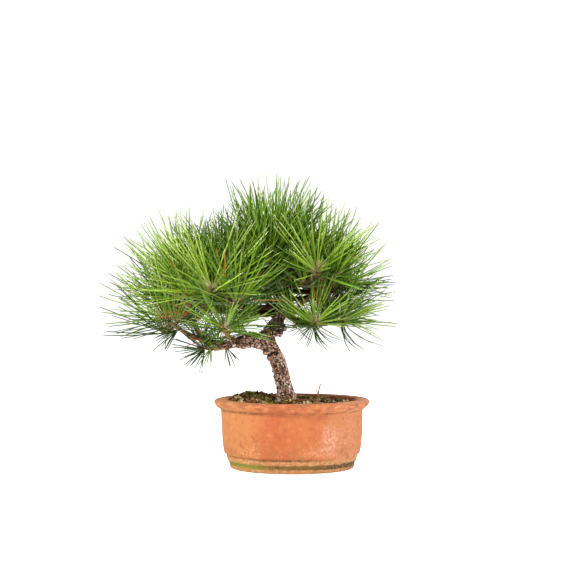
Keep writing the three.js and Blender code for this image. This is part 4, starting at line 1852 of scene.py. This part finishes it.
@dataclass(frozen=True)
class Lots:
    """How each pair of needles gets its green.

    It is a step darker from the share deep_from inwards, and, as painted shade, where it droops
    below drooping.
    The shares darker and darkest of all pairs are one and two steps darker, and the share
    brighter a step brighter. On shoots weaker than weak, the share dead is dead.
    """

    deep_from: float = 0.62
    drooping: float = 0.22
    darker: float = 0.28
    darkest: float = 0.1
    brighter: float = 0.12
    dead: float = 0.05
    weak: float = 0.8

    def dealt(self, tone: Tone, share: Array, way: Array, vigour: float, rng: Random) -> Array:
        """Deals the greens of one spray.

        Args:
            tone: The spray's own green.
            share: How deep in the spray each pair stands, from 0 to 1.
            way: Which way each pair points, (n, 3).
            vigour: How strong the shoot is.
            rng: The mass's own random numbers.

        Returns:
            Each pair's place in the row of greens, under 0 where it is brighter than any.
        """
        lot = rng.random(len(share))
        ranks = np.full(len(share), tone.value) + (share > self.deep_from)
        # Pairs that droop are dealt a step darker as painted shade below the spray.
        ranks = ranks + (lot < self.darker) + (lot < self.darkest) + (way[:, 2] < self.drooping)
        ranks = np.minimum(ranks - (rng.random(len(share)) < self.brighter), OLD.value)
        dead = rng.random(len(share)) < self.dead * (vigour < self.weak)
        return np.where(dead, DEAD.value, ranks)


@dataclass
class Crown:
    """All that grows from the old wood: boughs, twigs, buds, sheaths and needles.

    box is the box round the solids, and needles may pass it by the share over_box of each side.
    A bough takes up bough_share of its mass's way, and first rises by bough_rise of what it has
    to. A strong shoot has so many pairs of needles, which point from tight degrees off its way,
    or inner where the heart is shown, to outer degrees, turned up by lift, and never below
    lowest. They stand on the last spray millimetres, shifted back by sink, with the candle past
    them, and are longer by `longer` than the mass says.
    """

    wood: OldWood
    twig_bark: Material
    bough_bark: Material
    box: Array
    bough_share: float = 0.6
    bough_rise: float = 0.35
    bough_radii: tuple[float, float] = (3.8, 2.7)
    twig_roots: tuple[float, float, float] = (2.9, 2.1, 1.6)
    twig_tip: float = 1.5
    pairs: int = 37
    inner: float = 24
    tight: float = 5
    outer: float = 98
    lift: float = 0.38
    lowest: float = -0.36
    needle_width: float = 1.5
    spray: float = 11
    sink: float = 7
    candle: float = 5
    room: float = 0.3
    longer: float = 1.12
    over_box: float = 0.025
    lots: Lots = Lots()
    needles: dict[Tone, list[Spikes]] = field(default_factory=lambda: {tone: [] for tone in Tone})
    sheaths: list[Spikes] = field(default_factory=list)
    buds: list[Spikes] = field(default_factory=list)
    twigs: list[Form] = field(default_factory=list)
    rods: list[Array] = field(default_factory=list)

    def way_of(self, mass: Mass) -> Bezier:
        """A mass's one smooth way from the fork, level at first, then along the aim.

        Args:
            mass: The mass.

        Returns:
            The way to its leading shoot.
        """
        fork, tip = self.wood.fork(mass.place), mass.heart
        reach = np.linalg.norm(tip - fork) / 3
        out = (tip - fork) * np.array([1, 1, self.bough_rise])
        return Bezier(np.array([fork, fork + unit(out) * reach, tip - mass.way * reach, tip]))

    @staticmethod
    def shoots_of(mass: Mass, dice: Dice) -> list[Shoot]:
        """A mass's shoots: the leader at the tip, and the rest spread evenly round it.

        Args:
            mass: The mass.
            dice: Its die.

        Returns:
            The shoots, the leader first.
        """
        aim, tip, others = mass.way, mass.heart, mass.shoots - 1
        shoots = [Shoot(tip, aim, 1.0, 1.15, True)]
        for i in range(others):
            angle = math.radians(mass.roll + 360 * i / others + 24 * (dice.roll() - 0.5))
            away = circling(aim, angle)
            base = tip + away * mass.spread * (1 + 0.2 * (dice.roll() - 0.5))
            base = base - aim * (6 + 12 * dice.roll())
            way = unit(aim + 0.6 * away + 0.22 * UP)
            shoots.append(Shoot(base, way, 0.3 + 0.5 * dice.roll(), 0.85))
        return shoots

    @staticmethod
    def lesser_shoot(shoot: Shoot, rng: Random) -> Shoot:
        """A weaker shoot that forks off a shoot's own twig, further back and more turned away.

        Args:
            shoot: The shoot.
            rng: The mass's own random numbers.

        Returns:
            The lesser shoot.
        """
        away = circling(shoot.aim, rng.uniform(0, 2 * math.pi) + rng.uniform(-0.5, 0.5))
        base = shoot.base + away * rng.uniform(8, 15) - shoot.aim * rng.uniform(12, 26)
        aim = unit(shoot.aim + 0.85 * away + 0.2 * UP)
        return Shoot(base, aim, rng.uniform(0.35, 0.75), rng.uniform(0.35, 0.5))

    def twig_to(self, parent: Path, shoot: Shoot) -> Bezier:
        """A twig's way: off its parent, past a sagging bend, to its shoot and along the candle."""
        fork, tip = place_at(parent, shoot.fork), shoot.base + shoot.aim * self.candle
        return Bezier(np.array([fork, blend(fork, shoot.base, 0.55) - shoot.aim * 7, shoot.base, tip]))

    def leaf_out(self, shoot: Shoot, mass: Mass, tone: Tone, rng: Random) -> bool:
        """Sets the needle pairs, sheaths and buds of one shoot.

        Formula: pairs stand in a spiral by the golden angle. Their directions fill a zone of the
        sphere evenly, turned a little upwards, and the two needles of a pair part by a few
        degrees. A side shoot grows only outside the gaps, and where the share `room` of its
        needles has room.

        Args:
            shoot: The shoot.
            mass: The mass it belongs to.
            tone: Its green.
            rng: The mass's own random numbers.

        Returns:
            Whether the shoot grew.
        """
        count = round(self.pairs * shoot.vigour)
        share = (np.arange(count) + 0.5) / count
        open_heart = mass.shown and shoot.leader
        nearest = math.cos(math.radians(self.inner if open_heart else self.tight))
        height = nearest - share * (nearest - math.cos(math.radians(self.outer)))
        turn = GOLDEN_ANGLE * np.arange(count) + rng.uniform(0, 6) + rng.normal(0, 0.25, count)
        round_it = circling(shoot.aim, turn)
        way = height[:, None] * shoot.aim + np.sqrt(1 - height**2)[:, None] * round_it
        lift = self.lift + 0.3 * smooth(0.75, 1, shoot.aim[2])
        way = unit(way + lift * UP + rng.normal(0, 0.05, way.shape))
        length = mass.needle * (1 - 0.12 * (1 - height) + 0.1 * (rng.random(count) - 0.5))
        length = self.longer * length * (0.75 + 0.25 * shoot.vigour)
        foot = self.spray * (1 - share) - self.sink
        root = shoot.base + shoot.aim * foot[:, None] + round_it * 0.9
        part = unit(np.cross(way, rng.normal(0, 1, way.shape)))
        bend = 0.045 * length[:, None] * (rng.normal(0, 1, way.shape) + 0.4 * UP)
        pair = [
            Spikes(
                root + part * sign * 0.35,
                unit(way + part * sign * 0.07),
                length * (1 + 0.03 * sign * rng.random(count)),
                self.needle_width * (0.9 + 0.2 * rng.random(count)),
                bend + part * (sign * 0.02 * length)[:, None],
                part,
            )
            for sign in (-1, 1)
        ]
        ranks = self.lots.dealt(tone, share, way, shoot.vigour, rng)
        keep = (way[:, 2] > self.lowest) & (ranks >= 0)
        kept = [keep & self.clear(needles, mass, shoot, rng) for needles in pair]
        if not shoot.leader and (np.mean(kept) < self.room or self.in_gap(shoot.base)):
            return False
        for needles, stay in zip(pair, kept):
            for one in Tone:
                self.needles[one].append(needles.picked(stay & (ranks == one.value)))
        sheath = Spikes(root, way, rng.uniform(6, 9, count), np.full(count, 2.1), 0 * way, part)
        self.sheaths.append(sheath.picked(kept[0]))
        self.set_buds(shoot, 1.0 if open_heart else 0.62, rng)
        return True

    def set_buds(self, shoot: Shoot, scale: float, rng: Random) -> None:
        """Sets a bud at the candle's end and four smaller ones round it.

        Args:
            shoot: The shoot.
            scale: How large they are.
            rng: The mass's own random numbers.
        """
        out = circling(shoot.aim, np.arange(5) * 1.57 + rng.uniform(0, 6))
        lean = np.array([0, 0.6, 0.6, 0.6, 0.6])[:, None]
        end = shoot.base + shoot.aim * (self.candle - 1)
        size = scale * np.array([0.85, 0.58, 0.5, 0.62, 0.54]) * (0.55 + 0.45 * shoot.vigour)
        way = unit(shoot.aim + lean * out)
        self.buds.append(Spikes(end + lean * out * 2, way, 11 * size, 4.4 * size, 0 * way, out + 0.3))

    @staticmethod
    def sight(places: Array) -> Array:
        """x and z where the camera's lines to places cross the plane through the trunk."""
        eye = np.array(CAMERA_AT)
        return (eye + (places - eye) * (eye[1] / (eye[1] - places[..., 1]))[..., None])[..., [0, 2]]

    def in_gap(self, place: Array) -> bool:
        """Whether the camera sees a place within a gap."""
        return any(gap.covers(self.sight(place)) for gap in CLEARINGS)

    def clear(self, needles: Spikes, mass: Mass, shoot: Shoot | None, rng: Random) -> Array:
        """Whether each needle keeps off the wood, out of the gaps and within the box.

        Needles that stand on no shoot hang outside the crown, where the gaps don't matter.

        Args:
            needles: The needles.
            mass: The mass they belong to.
            shoot: The shoot they stand on, if they stand on one.
            rng: Decides which of those across a gap stay.

        Returns:
            One yes or no to a needle.
        """
        middles = needles.middles(np.linspace(0.25, 1, 7))
        sight = self.sight(middles)
        stays = np.ones(len(middles), dtype=bool)
        for other in MASSES:
            if other.shown and not (other is mass and shoot and shoot.leader):
                offset = sight - self.sight(other.heart + 8 * other.way)
                before = middles[..., 1] < other.heart[1] + 10
                stays &= ~((np.linalg.norm(offset, axis=-1) < 9) & before).any(axis=1)
        for gap in CLEARINGS if shoot else ():
            crosses = gap.covers(sight).any(axis=1)
            stays &= ~crosses | (rng.random(len(middles)) < gap.kept)
        margin = self.over_box * (self.box[1] - self.box[0])
        inside = (middles > self.box[0] - margin) & (middles < self.box[1] + margin)
        rods = np.concatenate(self.rods)
        away = np.linalg.norm(middles[:, :, None] - rods[:, :3], axis=-1) - rods[:, 3]
        return stays & inside.all(axis=(1, 2)) & (away.min(axis=(1, 2)) > 0.8)

    def hang(self, mass: Mass, rng: Random) -> None:
        """Adds bent needles that hang from the leading shoot, down and then outwards.

        Args:
            mass: The mass they hang from.
            rng: The mass's own random numbers.
        """
        count = mass.hanging
        out = outwards(np.radians(rng.uniform(-85, 50, count)))
        way = unit(rng.uniform(-0.3, 0.6, (count, 1)) * out - UP)
        length = mass.needle * rng.uniform(0.55, 0.75, count)
        bend = (0.75 * out + 0.2 * UP) * length[:, None] * rng.uniform(0.6, 1.4, (count, 1))
        width, turns = np.full(count, self.needle_width), rng.normal(0, 1, way.shape)
        hung = Spikes(mass.heart + 2 * way, way, length, width, bend, turns)
        hung = hung.picked(self.clear(hung, mass, None, rng))
        third = np.arange(len(hung.roots)) % 3 == 0
        self.needles[DEEP].append(hung.picked(third))
        self.needles[OLD].append(hung.picked(~third))

    def sprout(self, tuft: Tuft, rng: Random) -> None:
        """Spreads a tuft's needles evenly round its aim, in a cone that opens at random.

        Args:
            tuft: The tuft.
            rng: The tufts' own random numbers.
        """
        count, aim = 2 * tuft.pairs, unit(np.array(tuft.aim))
        round_it = circling(aim, GOLDEN_ANGLE * np.arange(count) + rng.uniform(0, 6))
        way = unit(aim + rng.uniform(0.1, 0.75, count)[:, None] * round_it)
        length = tuft.needle * rng.uniform(0.75, 1.05, count)
        root = np.array(tuft.base) + 0.8 * round_it
        bend = (rng.normal(0, 0.1, way.shape) - 0.08 * UP) * length[:, None]
        needles = Spikes(root, way, length, np.full(count, self.needle_width), bend, round_it)
        self.needles[tuft.tone].append(needles)

    def add_twig(self, path: Path, root: float, rings: int) -> None:
        """Draws one twig, tapering from its root radius."""
        twig = Limb(path, lambda t: blend(root, self.twig_tip, t), rings, around=9)
        self.twigs.append(twig.skin(ScaleRind(seed=41 + len(self.twigs))))

    def grow_mass(self, mass: Mass, stem: Path, dice: Dice, rng: Random) -> None:
        """Grows one mass: each shoot on its twig, and unless it is alone a lesser shoot with it.

        Args:
            mass: The mass.
            stem: The path from its bough's end to its leading shoot.
            dice: Its die.
            rng: Its own random numbers.
        """
        leader_root, side_root, lesser_root = self.twig_roots
        for shoot in self.shoots_of(mass, dice):
            if shoot.leader:
                end = shoot.base + shoot.aim * np.array([[self.candle * 0.5], [self.candle]])
                twig = Knots(np.vstack([stem.at(np.linspace(0, 1, 6)), end]))
                tone, root = mass.tone, leader_root
            else:
                twig = self.twig_to(stem, shoot)
                # Side shoots are dealt one or two greens darker, as painted shade behind the leader.
                tone, root = mass.tone.darker(max(1, int(rng.integers(0, 3)))), side_root
            if not self.leaf_out(shoot, mass, tone, rng):
                continue
            self.add_twig(twig, root, 40)
            if mass.shoots > 1:
                lesser = self.lesser_shoot(shoot, rng)
                if self.leaf_out(lesser, mass, tone.darker(2), rng):
                    self.add_twig(self.twig_to(twig, lesser), lesser_root, 26)
        if mass.hanging:
            self.hang(mass, rng)

    def grow(self) -> dict[str, Form]:
        """Grows every mass by the rule and gathers its parts.

        Returns:
            The boughs' forms by mass name.
        """
        self.rods = [self.wood.trunk.rods(120), self.wood.left_bough.rods(50)]
        ways = {mass.name: self.way_of(mass) for mass in MASSES}
        boughs = {}
        for mass in MASSES:
            if not mass.on_limb_end:
                path = Stretch(ways[mass.name], 0, self.bough_share + 0.02)
                bough = Limb(path, lambda t: blend(*self.bough_radii, t), rings=90, around=26)
                rind = Bark(wide=3.2, long=4.2, depth=0.75, wobble=0.08, seed=100 + len(boughs))
                boughs[mass.name] = bough.skin(rind)
                self.rods.append(bough.rods(24))
        for index, mass in enumerate(MASSES):
            start = 0 if mass.on_limb_end else self.bough_share
            stem = Stretch(ways[mass.name], start, 1)
            self.grow_mass(mass, stem, Dice(index * 7919), np.random.default_rng(4000 + index))
        rng = np.random.default_rng(77)
        for tuft in TUFTS:
            self.sprout(tuft, rng)
        return boughs

    def build(self) -> None:
        """Grows the crown and hands its pieces over, each kind apart."""
        for name, form in self.grow().items():
            piece = form.piece(f"{name}_bough_bark", self.bough_bark)
            settle(piece, [f"bough_{name}"])
        nodes = [f"needles_{mass.name}" for mass in MASSES]
        settle(Form.joined(self.twigs).piece("twigs", self.twig_bark), nodes)
        kinds = (
            ("sheaths", self.sheaths, SHEATH_PROFILE, 3, ("6b4a35", "8a6a4c", "b9a27a"), 0.7),
            ("buds", self.buds, BUD_PROFILE, 7, ("6e4634", "b8927c", "efe2d8"), 0.75),
        )
        for name, sets, profile, sides, tints, roughness in kinds:
            finish = BladeFinish(name=name, tints=tints, roughness=roughness)
            form = Spikes.joined(sets).form(profile, sides)
            settle(form.piece(name, finish.make(), "along"), nodes)
        for tone in Tone:
            name, shine = tone.name.lower(), 0.5 - 0.07 * tone.value
            finish = BladeFinish(name=f"needle_{name}", tints=NEEDLE_TINTS[tone], shine=shine)
            form = Spikes.joined(self.needles[tone]).form(NEEDLE_PROFILE)
            piece = form.piece(f"needles_{name}", finish.make(), "along", rounded=False)
            settle(piece, nodes)


# The studio


@dataclass(frozen=True)
class Lamp:
    """A soft square lamp at a place in millimetres, with its side in metres and its watts."""

    name: str
    at: Triple
    size: float
    power: float
    target: Triple = (0, 0, 200)

    def build(self) -> None:
        """Makes the lamp, aimed at its target."""
        data = bpy.data.lights.new(self.name, "AREA")
        data.energy, data.size = self.power, self.size
        lamp = bpy.data.objects.new(self.name, data)
        lamp.location = Vector(self.at) * MM
        way = Vector(self.target) * MM - lamp.location
        lamp.rotation_euler = way.to_track_quat("-Z", "Y").to_euler()
        bpy.context.scene.collection.objects.link(lamp)


@dataclass(frozen=True)
class Studio:
    """A pale floor, soft light from all round, and the level camera.

    lens and sensor are the camera's, in millimetres. floor_reach is half the floor's side, and
    floor_light and sky_light say how strong each is as light and in the camera's eye.
    """

    lens: float = 66.4
    sensor: float = 36
    floor_reach: float = 9000
    floor_light: tuple[float, float] = (0.3, 1.0)
    sky_light: tuple[float, float] = (0.12, 1.08)
    lamps: tuple[Lamp, ...] = (
        Lamp("key", (-1200, -1150, 1500), 0.6, 62),
        Lamp("fill", (1500, -900, 700), 0.8, 22),
        Lamp("over", (150, -200, 1900), 0.8, 25),
        Lamp("behind", (300, 1500, 1000), 1.2, 12),
    )

    def build(self) -> None:
        """Sets everything up."""
        self._floor()
        self._camera()
        self._world()
        for lamp in self.lamps:
            lamp.build()
        bpy.context.scene.view_settings.view_transform = "Standard"
        bpy.context.scene.view_settings.look = "None"

    @staticmethod
    def _seen(board: Board, light: float, camera: float) -> Socket:
        """One strength as light and another where the camera looks straight at it."""
        values = {0: board.add("ShaderNodeLightPath", {}).outputs["Is Camera Ray"]}
        return board.add("ShaderNodeMapRange", values | {"To Min": light, "To Max": camera}).outputs[0]

    def _floor(self) -> None:
        """A large plain floor."""
        corners = np.array([[-1, -1, 0], [1, -1, 0], [1, 1, 0], [-1, 1, 0]]) * self.floor_reach
        sheet = Form(corners, np.array([[0, 1, 2, 3]]), np.zeros((0, 3), dtype=int))
        material, board, shader = Finish(name="floor", roughness=0.9).start()
        strength = self._seen(board, *self.floor_light)
        tint, white = (0.86, 0.86, 0.85, 1), (1, 1, 1, 1)
        values = {"Base Color": tint, "Emission Color": white, "Emission Strength": strength}
        board.give(shader, values)
        sheet.piece("floor", material)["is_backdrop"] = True

    def _camera(self) -> None:
        """The camera, level and looking along +Y."""
        data = bpy.data.cameras.new("camera")
        data.lens, data.sensor_width = self.lens, self.sensor
        data.clip_start, data.clip_end = 0.05, 60
        camera = bpy.data.objects.new("camera", data)
        camera.location = Vector(CAMERA_AT) * MM
        camera.rotation_euler = (math.radians(90), 0, 0)
        bpy.context.scene.collection.objects.link(camera)
        bpy.context.scene.camera = camera

    def _world(self) -> None:
        """White surroundings: full white where the camera sees them, softer as light."""
        world = bpy.data.worlds.new("surroundings")
        world.use_nodes = True
        bpy.context.scene.world = world
        board = Board(world.node_tree)
        values = {"Color": (1, 1, 1, 1), "Strength": self._seen(board, *self.sky_light)}
        shade = board.add("ShaderNodeBackground", values)
        board.add("ShaderNodeOutputWorld", {0: shade.outputs[0]})


def corners_of(box: tuple[Vector, Vector]) -> list[list[float]]:
    """A box's two corners as plain lists."""
    return [list(corner) for corner in box]


def main() -> None:
    """Builds the pine around the frame, in order."""
    logging.basicConfig(level=logging.INFO, format="%(name)s: %(message)s")
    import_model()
    cad_box = corners_of(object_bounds())
    Studio().build()
    effects = SharedEffects()
    # The shaded ovals of each bark are painted shade under the crown.
    old_bark = BarkFinish(
        effects=effects, name="old_bark", moss=0.25,
        shaded=(((-52, -2, 173), (26, 16, 9)), ((-17, -4, 184), (14, 14, 16)),
                ((-14, 0, 210), (16, 18, 26))),
    )
    young_bark = BarkFinish(
        effects=effects, name="young_bark", plates=("4a3524", "6b4f37", "957958"), moss=0.35,
        grain=1.0, shaded=(((-28, 0, 214), (66, 70, 44)), ((42, 0, 222), (60, 60, 38))),
    )
    twig_bark = BarkFinish(
        effects=effects, name="twig_bark", plates=("5d4029", "7d5b3d", "a08260"), moss=0.3,
        grain=0.8, shaded=(((-10, 20, 216), (110, 90, 44)),),
    )
    fallen = BladeFinish(name="fallen_needle", tints=("7a5530", "9a6f3e", "6b4a2c"), roughness=0.7)
    twigs = twig_bark.make()
    pot = Pot(effects)
    pot.build()
    SoilBed(pot, effects, np.random.default_rng(7)).build(fallen.make(), twigs)
    wood = OldWood(old_bark.make())
    wood.build()
    Crown(wood, twigs, young_bark.make(), np.array(cad_box) / MM).build()


if __name__ == "__main__":
    main()
